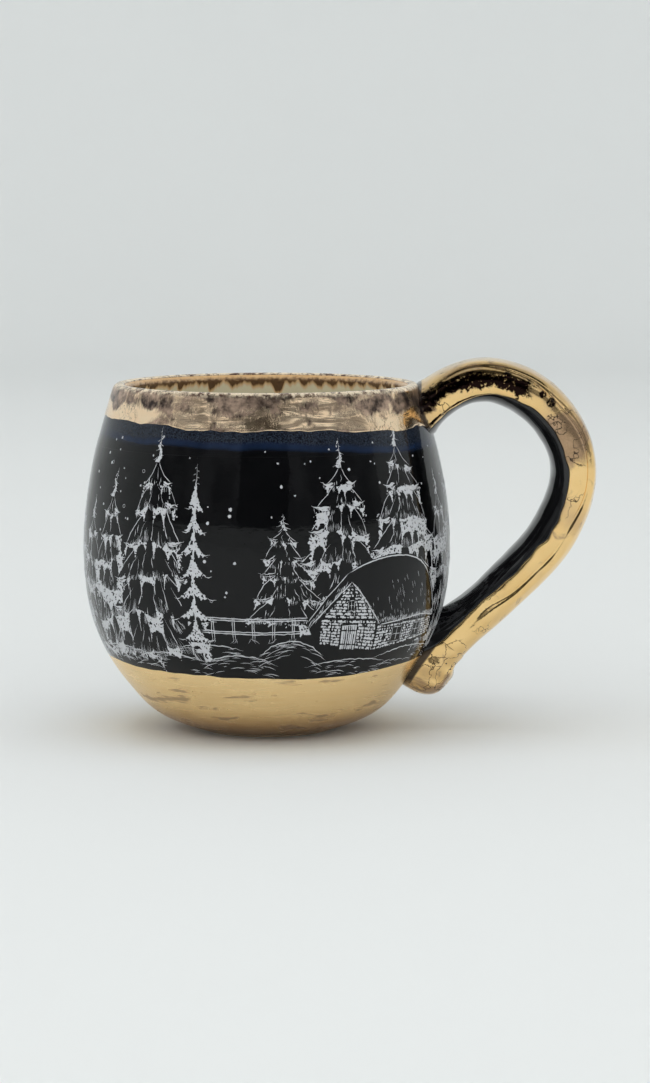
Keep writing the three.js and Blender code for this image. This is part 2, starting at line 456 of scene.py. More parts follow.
def dark_glaze():
    """Black glaze with a blue and slate band under the lip, pinholes and a faintly uneven gloss."""
    s = Shader("black_and_blue_glaze")
    drift = s.span(s.noise(26, 2, stretch=(1, 1, 1.5), seed=2.0), -2.2, 2.2)
    level = s.x * 0.026 + s.z + drift
    grain = s.ramp(s.noise(0.4, 3, 0.75), 0.38, 0.66)
    body = s.mix(s.noise(9, 3), (0.0012, 0.0013, 0.0016), (0.0032, 0.0034, 0.004))
    slate = s.mix(grain, (0.002, 0.0035, 0.008), (0.026, 0.034, 0.05))
    blue = s.mix(s.noise(5, 3, 0.6, seed=6.0), (0.002, 0.005, 0.014), (0.012, 0.025, 0.062))
    band = s.mix(s.ramp(level, *SLATE_FOOT), blue, slate)
    colour = s.mix(s.ramp(level, *BLUE_FOOT), body, band)
    pits = s.ramp(s.cells_at(s.vector("MULTIPLY", s.position, (1 / 5.5,) * 3)), 0.05, 0.02)
    waves = s.noise(5.5, 3, 0.5, stretch=(1, 1, 0.6))
    rings = s.noise(1.7, 3, 0.55, stretch=(9, 9, 0.6), seed=3.0)
    normal = s.bumps((waves, 0.12, 0.5), (rings, 0.025, 0.5), (pits, -0.05, 0.6))
    rough = s.span(s.noise(14, 3), 0.035, 0.09)
    return s.finish(Base__Color=colour, Roughness=rough, Normal=normal, IOR=1.45, Specular__IOR__Level=0.31)


def rim_lustre():
    """Gold lustre brushed thinly over the lip: smoky where it is thin, in level folds where it is thick."""
    s = Shader("rim_gold_lustre")
    cloud = s.noise(10, 3, 0.5, stretch=(1, 1, 0.8), warp=0.4, seed=5.0)
    hairs = s.noise(1.0, 4, 0.7, stretch=(0.8, 0.8, 3.5), seed=1.0)
    thin = s.ramp(s.z, 86.8, 91.5) * 0.17 + (cloud * 0.85 + hairs * 0.2)
    worn = s.ramp(thin, 0.555, 0.66)
    gold = s.mix(s.noise(3.6, 3, stretch=(1.6, 1.6, 0.6), seed=3.0), (1.0, 0.69, 0.44), (1.0, 0.83, 0.6))
    smoky = s.ramp(s.noise(4.0, 4, 0.65, seed=8.0), 0.34, 0.68)
    smoke = s.mix(smoky, (0.035, 0.024, 0.022), (0.56, 0.4, 0.3))
    wrinkle = s.cracks(3.6, 0.035, 1.8, 4.0) * s.ramp(s.noise(10, 2, seed=12.0), 0.5, 0.62)
    colour = s.mix(worn, gold, smoke)
    colour = s.mix(wrinkle * 0.5, colour, (0.16, 0.09, 0.05))
    crest = s.ramp(s.z + s.span(hairs, -1.3, 1.3), 93.2, 94.6)
    speckled = s.ramp(s.noise(1.5, 4, 0.75, seed=9.0), 0.38, 0.56)
    colour = s.mix(crest, colour, s.mix(speckled, (0.1, 0.045, 0.03), (1.0, 0.84, 0.62)))
    metal = 1.0 - s.larger(worn * 0.22, crest * 0.55)
    swells = s.noise(9, 2, 0.5, stretch=(1.2, 1.2, 0.7), warp=0.4, seed=26.0)
    folds = s.noise(4.4, 2, 0.45, stretch=(2.6, 2.6, 0.6), warp=0.8, seed=6.0) * s.ramp(thin, 0.8, 0.5)
    normal = s.bumps((swells, 0.6, 0.5), (folds, 0.4, 0.6), (wrinkle, -0.12, 0.7))
    rough = worn * 0.14 + s.span(s.noise(2.5, 3, seed=7.0), 0.1, 0.2)
    return s.finish(Base__Color=colour, Metallic=metal, Roughness=rough, Normal=normal)


def foot_lustre():
    """Gold lustre brushed round the foot in level strokes, with painted shade that makes it browner near the
    ground.
    """
    s = Shader("foot_gold_lustre")
    level = (3.2, 3.2, 0.32)
    strokes = s.noise(3.4, 4, 0.6, stretch=level, seed=2.0)
    smears = s.noise(7, 3, 0.6, stretch=(2.2, 2.2, 0.42), warp=0.3, seed=11.0)
    gold = s.mix(strokes, (0.94, 0.65, 0.31), (1.0, 0.78, 0.43))
    # Painted shade: the lustre turns brown towards the ground, where it reflects the shadow under the mug.
    low = s.ramp(s.z + s.span(smears, -2.5, 2.5), 11, 3)
    thin = s.ramp(smears, 0.585, 0.67)
    hair = s.ramp(s.noise(2.2, 3, 0.7, stretch=(5, 5, 0.14), seed=21.0), 0.66, 0.74)
    colour = s.mix(low * 0.85, gold, (0.46, 0.26, 0.1))
    colour = s.mix(thin * 0.68, colour, (0.36, 0.25, 0.17))
    colour = s.mix(hair * 0.5, colour, (0.2, 0.12, 0.06))
    fine = s.noise(1.5, 3, stretch=level, seed=4.0)
    normal = s.bumps((fine, 0.08, 0.6), (s.noise(6, 2, seed=14.0), 0.3, 0.5))
    rough = thin * 0.14 + s.span(strokes, 0.2, 0.32)
    return s.finish(Base__Color=colour, Metallic=0.96, Roughness=rough, Normal=normal)


WALL_TANGENTS = [  # straight lines along the outline: height, radius, slope
    (11.4, 36.5, 0.677), (23.8, 44.9, 0.3), (57, 49.8, 0.0), (76, 47.1, -0.26), (90, 43.2, -0.33),
]
WIDEST_WALL = 60.0


def outside_wall(s):
    """How far a point lies outside the wall, in mm, by the lines along its outline."""
    wall_radius = WIDEST_WALL
    for height, at_height, slope in WALL_TANGENTS:
        wall_radius = s.math("MINIMUM", wall_radius, s.z * slope + (at_height - slope * height))
    return s.hypot(s.x, s.y) - wall_radius


ARCH_CENTRE = (60.0, 70.0)
# The radius of a painted dark reflection along the side of the handle's arch.
ARCH_REFLECTION_RADIUS = 26.2
DARK_SPOTS = [(74.5, 92.2, 1.2), (76.8, 90, 1.5)]
BROWNED_PLACE = (80.5, 80.0)
# The dark colour of the cracks, of the painted shade along the seams and of the painted reflection on the
# arch.
CRACK_SHADE_AND_REFLECTION_COLOUR = (0.014, 0.007, 0.006)


def painted_arch_reflection_and_spots(s, ragged):
    """A painted dark reflection: a ragged dark band along the side of the handle's arch, with a few dark
    spots where it ends.
    """
    from_band = s.math("ABSOLUTE", s.distance_to(*ARCH_CENTRE) - ARCH_REFLECTION_RADIUS) + ragged
    dark_reflection_and_spots = s.ramp(from_band, 2.7, 1.9) * s.ramp(s.x + ragged, 72.5, 70.5) * s.ramp(s.z, 82, 84)
    for across, height, radius in DARK_SPOTS:
        off = ragged * 0.22 + s.distance_to(across, height)
        dark_reflection_and_spots = s.larger(dark_reflection_and_spots, s.ramp(off, radius + 0.15, radius - 0.15))
    flecks = s.ramp(s.noise(1.2, 3, 0.7, seed=59.0), 0.6, 0.64)
    return dark_reflection_and_spots * (flecks * -0.8 + 1.0)


def handle_lustre():
    """Thick bright gold lustre on the handle, with brown stains, fine cracks, painted shade in the creases
    where it meets the wall, and a painted dark reflection along the arch.
    """
    s = Shader("handle_gold_lustre")
    gold = s.mix(s.noise(7, 3, seed=1.0), (0.86, 0.56, 0.22), (1.0, 0.72, 0.35))
    near_joint = s.larger(s.ramp(s.z, 32, 14), s.ramp(s.x, 54, 44) * 0.3)
    tarnish = s.ramp(s.noise(16, 3, 0.5, seed=71.0), 0.46, 0.66)
    gold = s.mix(tarnish * 0.6, gold, (0.62, 0.42, 0.24))
    crumbs = s.noise(1.5, 4, 0.75, warp=0.6, seed=47.0)
    ragged = s.span(crumbs, -2.6, 2.6) + s.span(s.noise(7, 3, 0.6, warp=0.5, seed=53.0), -3.4, 3.4)
    browned = ragged * 0.8 + s.distance_to(*BROWNED_PLACE)
    stain = s.ramp(near_joint * 0.1 + s.noise(8, 4, 0.6, warp=0.8, seed=17.0), 0.58, 0.72)
    stain = s.larger(stain, s.ramp(browned, 9.5, 5.5) * s.ramp(s.x, 92, 86))
    brown = s.mix(s.noise(1.8, 4, 0.7, seed=19.0), (0.1, 0.05, 0.042), (0.5, 0.33, 0.24))
    crack_area = s.ramp(browned, 12, 6) * 0.2 + (near_joint * 0.16 + s.noise(14, 2, seed=23.0))
    cracks = s.cracks(8, 0.024, 1.7, 2.0) * s.ramp(crack_area, 0.5, 0.57)
    outside = outside_wall(s)
    # Painted shade: the gold darkens in the crease where the strap meets the wall, within about 0.9 mm of it,
    # and within about 2.7 mm at the lower joint.
    low_seam_shade = s.ramp(outside, 2.7, 2.0) * s.ramp(s.z, 11.5, 15) * s.ramp(s.z, 34, 30)
    cracks_and_seam_shade = s.larger(cracks, s.larger(s.ramp(outside, 0.9, 0.3), low_seam_shade) * 0.95)
    colour = s.mix(stain * 0.75, gold, brown)
    # The cracks are real marks; the darkening at the seams and the band on the arch are painted shade and a
    # painted reflection.
    colour = s.mix(s.larger(cracks_and_seam_shade, painted_arch_reflection_and_spots(s, ragged)), colour, CRACK_SHADE_AND_REFLECTION_COLOUR)
    metal = 1.0 - s.larger(stain * 0.15, cracks_and_seam_shade * 0.6)
    crinkled = s.ramp(s.noise(13, 2, seed=41.0), 0.44, 0.6)
    crinkled = s.math("ADD", crinkled, s.ramp(s.z, 78, 92), clamp=True)
    crinkle = s.noise(3.2, 4, 0.6, warp=0.7, seed=43.0) * crinkled
    dents = s.noise(9, 2, 0.4, seed=31.0)
    normal = s.bumps((dents, 0.35, 0.5), (crinkle, 0.22, 0.6), (cracks, -0.12, 0.8))
    rough = stain * 0.12 + s.span(s.noise(4, 3, seed=37.0), 0.06, 0.15)
    return s.finish(Base__Color=colour, Metallic=metal, Roughness=rough, Normal=normal)


def handle_black():
    """Glossy black glaze on the finger side of the handle."""
    s = Shader("handle_black_glaze")
    colour = s.mix(s.noise(6, 3), (0.002, 0.002, 0.0024), (0.008, 0.008, 0.009))
    brown = s.ramp(s.noise(7, 3, seed=3.0), 0.68, 0.8)
    colour = s.mix(brown * 0.6, colour, (0.05, 0.03, 0.015))
    normal = s.bumps((s.noise(3.4, 2), 0.12, 0.4))
    return s.finish(Base__Color=colour, Roughness=s.span(s.noise(9, 3), 0.05, 0.12), Normal=normal, IOR=1.52)


RUNS_START = 94.6  # the height that the liner's runs hang from
RUNS_ROUND = 7.2  # how many runs there are to each radian round the lip, about
RUN_LENGTHS = (2.5, 5.0)  # the least, and how much longer the runs are at their lobes


def cream_liner():
    """Cream glaze inside, with tan and dark brown runs that hang from the lip."""
    s = Shader("cream_liner_glaze")
    flat = s.node("CombineXYZ", s.x, s.y, 0.0).outputs[0]
    ring = s.vector("MULTIPLY", s.vector("NORMALIZE", flat), (RUNS_ROUND,) * 3)
    cells = s.cells_at(ring, Randomness=0.8)
    jitter = s.noise_at(s.vector("MULTIPLY", ring, (1.9,) * 3), Detail=3.0)
    lobe = s.math("SUBTRACT", 1.0, cells * cells * 5.5, clamp=True)
    hang = lobe * RUN_LENGTHS[1] + RUN_LENGTHS[0] + s.span(jitter, -2.4, 3.4)
    drop = RUNS_START - s.z
    left = hang - drop
    start = s.ramp(s.noise(1.4, 4, 0.7, seed=14.0) * 2.6 + drop, 2.0, 3.3)
    core = s.ramp(left, 0.0, 0.9) * start
    cream = s.mix(s.noise(16, 3), (0.66, 0.6, 0.43), (0.8, 0.74, 0.57))
    tan = s.mix(s.noise(1.5, 4, 0.7, seed=4.0), (0.5, 0.27, 0.11), (0.78, 0.55, 0.3))
    dark = s.mix(s.noise(0.9, 3, 0.7, seed=5.0), (0.018, 0.008, 0.004), (0.11, 0.045, 0.02))
    speck = s.ramp(s.noise(0.6, 2, 0.7, seed=9.0), 0.7, 0.78)
    colour = s.mix(speck * 0.5, cream, (0.3, 0.17, 0.08))
    colour = s.mix(s.ramp(left, -1.1, 0.4), colour, tan)
    colour = s.mix(core * 0.92, colour, dark)
    normal = s.bumps((s.noise(2.4, 2), 0.08, 0.4))
    return s.finish(Base__Color=colour, Roughness=s.span(s.noise(10, 2), 0.1, 0.2), Normal=normal, IOR=1.5)


def bare_clay():
    """Dry fired clay, buff with iron specks, showing on the flat foot."""
    s = Shader("bare_fired_clay")
    colour = s.mix(s.noise(3.5, 4, 0.65), (0.42, 0.31, 0.2), (0.6, 0.47, 0.33))
    specks = s.ramp(s.noise(0.45, 2, 0.7, seed=3.0), 0.68, 0.76)
    colour = s.mix(specks, colour, (0.12, 0.06, 0.03))
    normal = s.bumps((s.noise(0.5, 4, 0.7), 0.12, 0.7))
    return s.finish(Base__Color=colour, Roughness=s.span(s.noise(2, 3), 0.72, 0.92), Normal=normal)


def silver_ink():
    """Silver-grey enamel of the drawing, a little uneven in tone."""
    s = Shader("silver_drawing")
    colour = s.mix(s.noise(1.2, 3, 0.7), (0.45, 0.46, 0.48), (0.7, 0.71, 0.74))
    normal = s.bumps((s.noise(0.3, 2, 0.6), 0.02, 0.5))
    rough = s.span(s.noise(2, 2), 0.32, 0.5)
    return s.finish(Base__Color=colour, Metallic=0.25, Roughness=rough, Normal=normal)


black = dark_glaze()
handle_gold = handle_lustre()
clay = bare_clay()

# ---- The body ----

foot_edge = place_at(DRY_FOOT_TOP + 0.1 * ripple(11, 3, 9))
foot_wave = 2.3 * np.sin(azimuths) ** 2 + 0.3 * ripple(12, 2, 5) + 0.13 * ripple(13, 9, 40)
foot_top = place_at(FOOT_LUSTRE_TOP + foot_wave)
band_foot = place_at(np.full(COLUMNS, BLACK_TOP))
rim_wave = 0.45 * ripple(14, 2, 5) + 0.34 * ripple(15, 7, 18) + 0.12 * ripple(16, 25, 70)
rim_foot = place_at(RIM_LUSTRE_FOOT - 1.2 * np.sin(azimuths) + rim_wave)
crest = np.full(COLUMNS, LIP_CREST)
floor_middle = np.full(COLUMNS, 4.0)

foot_coat = turned_shell("foot_lustre", foot_edge, foot_top, 70, foot_lustre(), 0.07, (True, True))
piece(foot_coat, "body_gold_lustre", "foot_lustre_glaze")
piece(turned_shell("black_wall", foot_top, band_foot, 150, black), "black_glaze", "black_wall_glaze")
piece(turned_shell("blue_band", band_foot, rim_foot, 26, black), "blue_glaze", "blue_glaze_band")
rim_coat = turned_shell("rim_lustre", rim_foot, crest, 90, rim_lustre(), 0.12, (True, False))
piece(rim_coat, "body_gold_lustre", "rim_lustre_glaze")
liner = turned_shell("cream_liner", crest, floor_middle, 170, cream_liner())
piece(merge_poles(liner), "cream_glaze", "liner_glaze")


def clay_cup():
    """The clay under the coats, whose flat foot is bare, with faint trimming rings."""
    outside = np.concatenate([np.linspace(0.004, 1, 60), np.linspace(1, 2, 12)[1:-1], np.linspace(2, 4, 60)])
    covered = on_body(azimuths, outside[:, None], -CLAY_DEPTH)
    foot_radius, _ = outline(0.0, 0.0)
    share = np.linspace(0, 1, 30)[:, None]
    trimmed = 0.06 * np.sin(share * 34) * (1 - share) + 0.08 * (1 - share)
    foot = ring_points(foot_radius * share, azimuths, np.maximum(trimmed, 0))
    bevel = on_body(azimuths, np.full((1, 1), 0.012), 0.0)
    points = np.concatenate([foot, bevel, covered])
    return merge_poles(add_object("clay_cup", points, grid_faces(len(points), COLUMNS, False, True), clay))


piece(clay_cup(), "fired_clay", "stoneware_body")

# ---- The handle ----
#
# A place on the strap is the share of its length, from its root at the top, and an angle round it: 0 on the
# far side, a quarter turn at the back, and three quarters on the finger side.

handle = Path(HANDLE_LINE, 900, 22, STRAP_ROWS)
strap_lumps = dapple(41, 30, 70, 16)
strap_facets = dapple(42, 30, 12, 5)
collar_marks = dapple(61, 24, 15, 5)
pad_marks = dapple(63, 24, 13, 4.5)


def beyond_wall(points):
    """How far points lie outside the body's wall, in mm, each at its own height."""
    wall_radius = np.interp(points[..., 2], wall.line[:, 1], wall.line[:, 0])
    return np.hypot(points[..., 0], points[..., 1]) - wall_radius


def squared(wave):
    """A sine or cosine pushed out towards the corners of a squarer section."""
    return np.sign(wave) * np.abs(wave) ** (2 / SECTION_POWER)


def strap_relief(share, angle):
    """How far the strap's clay stands off its plain section: lumps, facets and a long crease on each side."""
    creased = np.clip((share - 0.1) / 0.12, 0, 1) * np.clip((0.87 - share) / 0.1, 0, 1)
    wander = 0.07 * np.sin(share * 25) + 0.03 * np.sin(share * 57 + 1)
    off_back = np.abs((angle - math.pi / 2 + math.pi) % TURN - math.pi)
    off_crease = off_back - eased(CREASE_ANGLES, share) - wander
    groove = -0.55 * np.exp(-((off_crease / 0.1) ** 2))
    shoulder = 0.3 * np.exp(-(((off_crease + 0.34) / 0.2) ** 2))
    side = angle * STRAP_RADIUS
    length = share * handle.length
    lumps = 0.26 * strap_lumps(side, length) + 0.035 * strap_facets(side, length)
    return lumps + creased * (groove + shoulder)


def strap_surface(share, angle, lift):
    """Points of the strap's skin, raised by a lift in mm. None lies deeper in the wall than the bite."""
    share, angle, lift = np.broadcast_arrays(share, angle, lift)
    centre_x, centre_z = handle.at(share)
    way = unit(np.stack(handle.way(share), -1))
    closing = np.clip((share - 1 + TAIL_CAP) / TAIL_CAP, 0, 0.9995)  # stops just short of a point
    rounding = np.sqrt(1 - closing**2)
    half_width = eased(STRAP_HALF_WIDTHS, share) * rounding
    half_depth = eased(STRAP_HALF_DEPTHS, share) * rounding
    c = squared(np.cos(angle))
    s = squared(np.sin(angle))
    ring = np.maximum(np.hypot(half_width * c, half_depth * s), 0.4)

    def at(rise):
        scale = 1 + rise * rounding / ring
        across = half_width * c * scale
        out = half_depth * s * scale
        return np.stack([centre_x - way[..., 1] * out, across, centre_z + way[..., 0] * out], -1)

    relief = strap_relief(share, angle)
    level_top = np.clip(s, 0, 1) * np.clip((0.3 - share) / 0.1, 0, 1)
    webbed = np.clip(-s, 0, 1) * np.clip((share - 0.88) / 0.06, 0, 1)
    swell = eased(FILLETS, share) * (1 - 0.8 * level_top + 0.8 * webbed)
    fillet = swell * np.exp(-np.clip(beyond_wall(at(relief)), 0, None) / eased(FILLET_REACHES, share))
    points = at(relief + fillet + lift)
    push = np.clip(-WALL_BITE - beyond_wall(points), 0, None)
    points[..., :2] *= (1 + push / np.hypot(points[..., 0], points[..., 1]))[..., None]
    return points


def border(seed, middle, way):
    """The angle of the gold's edge along the strap, as it wanders to one way of the middle of a side."""
    wander = dapple(seed, 16, 40, 4)

    def at(share):
        return middle + way * (eased(BORDER_ANGLES, share) + 0.05 * wander(0, share * handle.length))

    return at


far_edge = border(51, 0, -1)
near_edge = border(52, math.pi, 1)
far_edge_again = border(51, TURN, -1)


def collar_swell(share, angle, reach):
    """Clay smoothed from the wall up over the strap."""
    marks = 0.25 * collar_marks(angle * STRAP_RADIUS, share * handle.length) * np.sin(math.pi * reach) ** 0.5
    return 0.4 * np.sqrt(np.clip(1 - reach, 0, 1)) - 0.12 + marks


def pad_swell(share, angle, reach):
    """The pressed end of the strap: it swells into a low thumb stop with the marks of a finger on it."""
    marks = 0.34 * pad_marks(angle * STRAP_RADIUS, share * handle.length) * np.sin(math.pi * reach) ** 0.5
    return 0.2 * np.sqrt(np.clip(reach / 0.06, 0, 1)) - 0.1 + 0.5 * np.sin(math.pi * reach) ** 2 + marks


def strap_zone(name, first_edge, last_edge, columns, material, ends, raised=0.0, worked=None):
    """The part of the strap's skin between two edges, from one share of its length to another. Clay worked
    over the strap swells by a function of the share, the angle and 0 to 1 along the zone."""
    length = ends[1] - ends[0]
    rows = max(60, int(STRAP_ROWS * length * (2 if worked else 1)))
    reach = np.linspace(0, 1, rows)[:, None]
    share = ends[0] + length * reach
    across = np.linspace(0, 1, columns)[None, :]
    width = last_edge(share) - first_edge(share)
    angle = first_edge(share) + width * across
    from_edge = np.minimum(across, 1 - across) * np.abs(width) * STRAP_RADIUS
    rise = raised * np.sqrt(np.clip(from_edge / ROUNDED_EDGE, 0, 1))
    if worked:
        rise = rise + worked(share, angle, reach) * np.clip(from_edge / 3, 0, 1)
    outer = strap_surface(share, angle, rise)
    inner = strap_surface(share, angle, -COAT)[:, ::-1]
    return add_object(name, np.concatenate([outer, inner], 1), tube_faces(rows, 2 * columns), material)


STRAP_START = 0.045  # the strap's first row, inside the wall
WHOLE_STRAP = (STRAP_START, 0.9996)
GOLD_COLUMNS = 92
BLACK_COLUMNS = 60
GOLD_ZONES = [  # name, CAD node, ends, how far its edges stand up, what was worked over it
    ("handle_lustre", "handle_lustre_glaze", WHOLE_STRAP, 0.1, None),
    ("joint_collar", "upper_joint_collar", (STRAP_START, 0.105), 0.12, collar_swell),
    ("thumb_stop", "lower_joint_pad", (0.885, 0.9997), 0.12, pad_swell),
]
for name, node, ends, raised, worked in GOLD_ZONES:
    zone = strap_zone(name, far_edge, near_edge, GOLD_COLUMNS, handle_gold, ends, raised, worked)
    piece(zone, "handle_gold_lustre", node)

finger_side = strap_zone(
    "handle_black", near_edge, far_edge_again, BLACK_COLUMNS, handle_black(), WHOLE_STRAP
)
piece(finger_side, "black_glaze", "handle_black_glaze")

CORE_END = 0.985
CORE_ROWS = 120
CORE_SIDES = 64
core_share = np.linspace(STRAP_START, CORE_END, CORE_ROWS)[:, None]
core_angle = np.arange(CORE_SIDES) * TURN / CORE_SIDES
core_points = strap_surface(core_share, core_angle, -CLAY_DEPTH)
core = add_object("handle_clay", core_points, tube_faces(CORE_ROWS, CORE_SIDES), clay)
piece(core, "fired_clay", "handle_strap")


# ---- The winter drawing ----
#
# It is laid out flat first: a place is (s, z), in mm, where s runs round the mug from the front towards the
# handle, 50 mm to the radian, and z is the height. Thin lines are tapered strokes. Snow and stone are masses,
# kept on a sheet of small cells with grain knocked out of them. Nearer things are drawn first.

HALF_ROUND = math.pi * BODY_RADIUS
CELL = 0.17
SHEET_LOW, SHEET_HIGH = 20.0, 88.0
SHEET_COLUMNS = round(2 * HALF_ROUND / CELL)
SHEET_ROWS = round((SHEET_HIGH - SHEET_LOW) / CELL)
CELL_ROUND = 2 * HALF_ROUND / SHEET_COLUMNS
SOLID = 9  # above all the grain, for a mass without dark specks


def box_round(points, margin=0.0):
    """The box (s0, s1, z0, z1) round some points."""
    low = np.min(points, 0) - margin
    high = np.max(points, 0) + margin
    return low[0], high[0], low[1], high[1]


class Drawing:
    """The strokes, the cells that are bright, and the cells that nearer things have taken."""

    def __init__(self, seed):
        self.rng = np.random.default_rng(seed)
        self.strokes = []
        self.bright = np.zeros((SHEET_ROWS, SHEET_COLUMNS), bool)
        self.taken = np.zeros((SHEET_ROWS, SHEET_COLUMNS), bool)
        grain = self.rng.normal(size=self.bright.shape)
        for axis in (0, 1):
            grain = grain + 0.75 * (np.roll(grain, 1, axis) + np.roll(grain, -1, axis))
        self.grain = grain / grain.std()

    def window(self, box):
        """The sheet's rows and columns in a box (s0, s1, z0, z1), and the places of those cells."""
        s0, s1, z0, z1 = box
        first = max(0, int((z0 - SHEET_LOW) / CELL))
        last = min(SHEET_ROWS, int((z1 - SHEET_LOW) / CELL) + 1)
        rows = np.arange(first, max(first, last))
        columns = np.arange(int((s0 + HALF_ROUND) // CELL_ROUND), int((s1 + HALF_ROUND) // CELL_ROUND) + 1)
        s = -HALF_ROUND + (columns + 0.5) * CELL_ROUND
        z = SHEET_LOW + (rows + 0.5) * CELL
        return np.ix_(rows, columns % SHEET_COLUMNS), s[None, :], z[:, None]

    def fill(self, box, depth, ragged=0.1, holes=1.05):
        """Brightens the cells where depth, in mm inside the mass, is above the grain; holes sets how many
        specks stay dark, fewer for a higher value."""
        cells, s, z = self.window(box)
        grain = self.grain[cells]
        self.bright[cells] |= (depth(s, z) > ragged * grain) & (grain < holes) & ~self.taken[cells]

    def erase(self, points, width):
        """Cuts a dark line out of the masses."""
        points = np.asarray(points, float)
        for a, b in zip(points, points[1:]):
            cells, s, z = self.window(box_round([a, b], width))
            way = b - a
            share = np.clip(((s - a[0]) * way[0] + (z - a[1]) * way[1]) / (way @ way), 0, 1)
            away = np.hypot(s - a[0] - share * way[0], z - a[1] - share * way[1])
            self.bright[cells] &= away > width / 2

    def block(self, polygon):
        """Takes the cells inside a polygon, so that what is drawn later stays behind it."""
        polygon = np.asarray(polygon, float)
        cells, s, z = self.window(box_round(polygon))
        self.taken[cells] |= inside(s, z, polygon)

    def line(self, points, width, taper=(0.25, 0.25), step=1.0, shake=0.05):
        """A stroke through a few points, width wide in its middle and tapered by shares of its length."""
        points = np.asarray(points, float)
        if len(points) > 2:
            points = catmull_rom(points, np.linspace(0, 1, 10 * len(points)))
        length = np.linalg.norm(np.diff(points, axis=0), axis=1).sum()
        count = max(3, int(length / step) + 1)
        points, _ = even_arc(points, count)
        points[1:-1] += self.rng.normal(0, shake, (count - 2, 2))
        share = np.linspace(0, 1, count)
        widths = np.full(count, width / 2)
        for tapered, from_end in zip(taper, (share, 1 - share)):
            widths *= np.clip(from_end / tapered, 0.12, 1) if tapered else 1
        widths *= self.rng.uniform(0.75, 1.2, count)
        row = np.clip(((points[:, 1] - SHEET_LOW) / CELL).astype(int), 0, SHEET_ROWS - 1)
        column = ((points[:, 0] + HALF_ROUND) // CELL_ROUND).astype(int) % SHEET_COLUMNS
        kept = ~self.taken[row, column]
        breaks = np.flatnonzero(np.diff(np.concatenate([[0], kept.astype(int), [0]])))
        for first, last in zip(breaks[::2], breaks[1::2]):
            if last - first >= 2:
                self.strokes.append((points[first:last], widths[first:last]))

    def bend(self, start, end, sag, width, **how):
        """A stroke from start to end that bows sideways by sag, to the left of its way."""
        start, end = np.asarray(start, float), np.asarray(end, float)
        way = end - start
        side = np.array([-way[1], way[0]]) / max(np.linalg.norm(way), 1e-6)
        self.line([start, (start + end) / 2 + side * sag, end], width, **how)

    def hairs(self, count, place, way, long, width, scatter=None):
        """Short strokes one way from random places, of random lengths."""
        for _ in range(count):
            start = np.array(place())
            if scatter:
                start = start + self.rng.normal(0, scatter, 2)
            self.line([start, start + np.array(way) * self.rng.uniform(*long)], width)


def inside(s, z, polygon):
    """Whether each place lies inside a polygon."""
    crossings = np.zeros(np.broadcast(s, z).shape, bool)
    for (s0, z0), (s1, z1) in zip(polygon, np.roll(polygon, -1, axis=0)):
        if z0 == z1:
            continue
        spans = (z > min(z0, z1)) & (z <= max(z0, z1))
        meets = s0 + (z - z0) * (s1 - s0) / (z1 - z0)
        crossings ^= spans & (s < meets)
    return crossings


def cell_of(edges, x):
    """Which gap between edges each x falls in, how wide that gap is, and where across it x lies, -1 to 1."""
    k = np.clip(np.searchsorted(edges, x, side="right") - 1, 0, len(edges) - 2)
    width = edges[k + 1] - edges[k]
    return k, width, np.clip((2 * x - edges[k] - edges[k + 1]) / width, -1, 1)


class Tier:
    """One tier of a fir: dark boughs side by side, rounded below, with snow caught under them."""

    def __init__(self, rng, level, drop, spread):
        self.level = level
        self.drop = drop
        self.left = spread * rng.uniform(0.85, 1.15)
        self.right = spread * rng.uniform(0.85, 1.15)
        boughs = max(2, int(round((self.left + self.right) / rng.uniform(3.7, 5.0))))
        self.edges = np.linspace(-self.left, self.right, boughs + 1)
        self.edges[1:-1] += rng.uniform(-0.24, 0.24, boughs - 1) * (self.edges[1] - self.edges[0])
        self.round = rng.uniform(0.3, 0.62, boughs)
        self.steps = rng.uniform(-0.26, 0.14, boughs) * drop
        self.lean = rng.uniform(-0.09, 0.09)
        self.lift = rng.uniform(-0.45, 0.1, 2) * drop

    def reach(self, x):
        """How far towards the end of its side each x lies, 1 at the end."""
        return np.where(x < 0, -x / self.left, x / self.right)

    def base(self, x):
        side = np.where(x < 0, self.lift[0], self.lift[1])
        return self.level + self.lean * x + side * np.clip(self.reach(x), 0, 1.2) ** 1.8

    def underside(self, x):
        """The height of the boughs' rounded lower edge."""
        k, width, across = cell_of(self.edges, x)
        return self.base(x) + self.steps[k] - self.round[k] * width * np.sqrt(1 - across**2)


CROWN = 0.16  # the share of a fir's height above its first tier


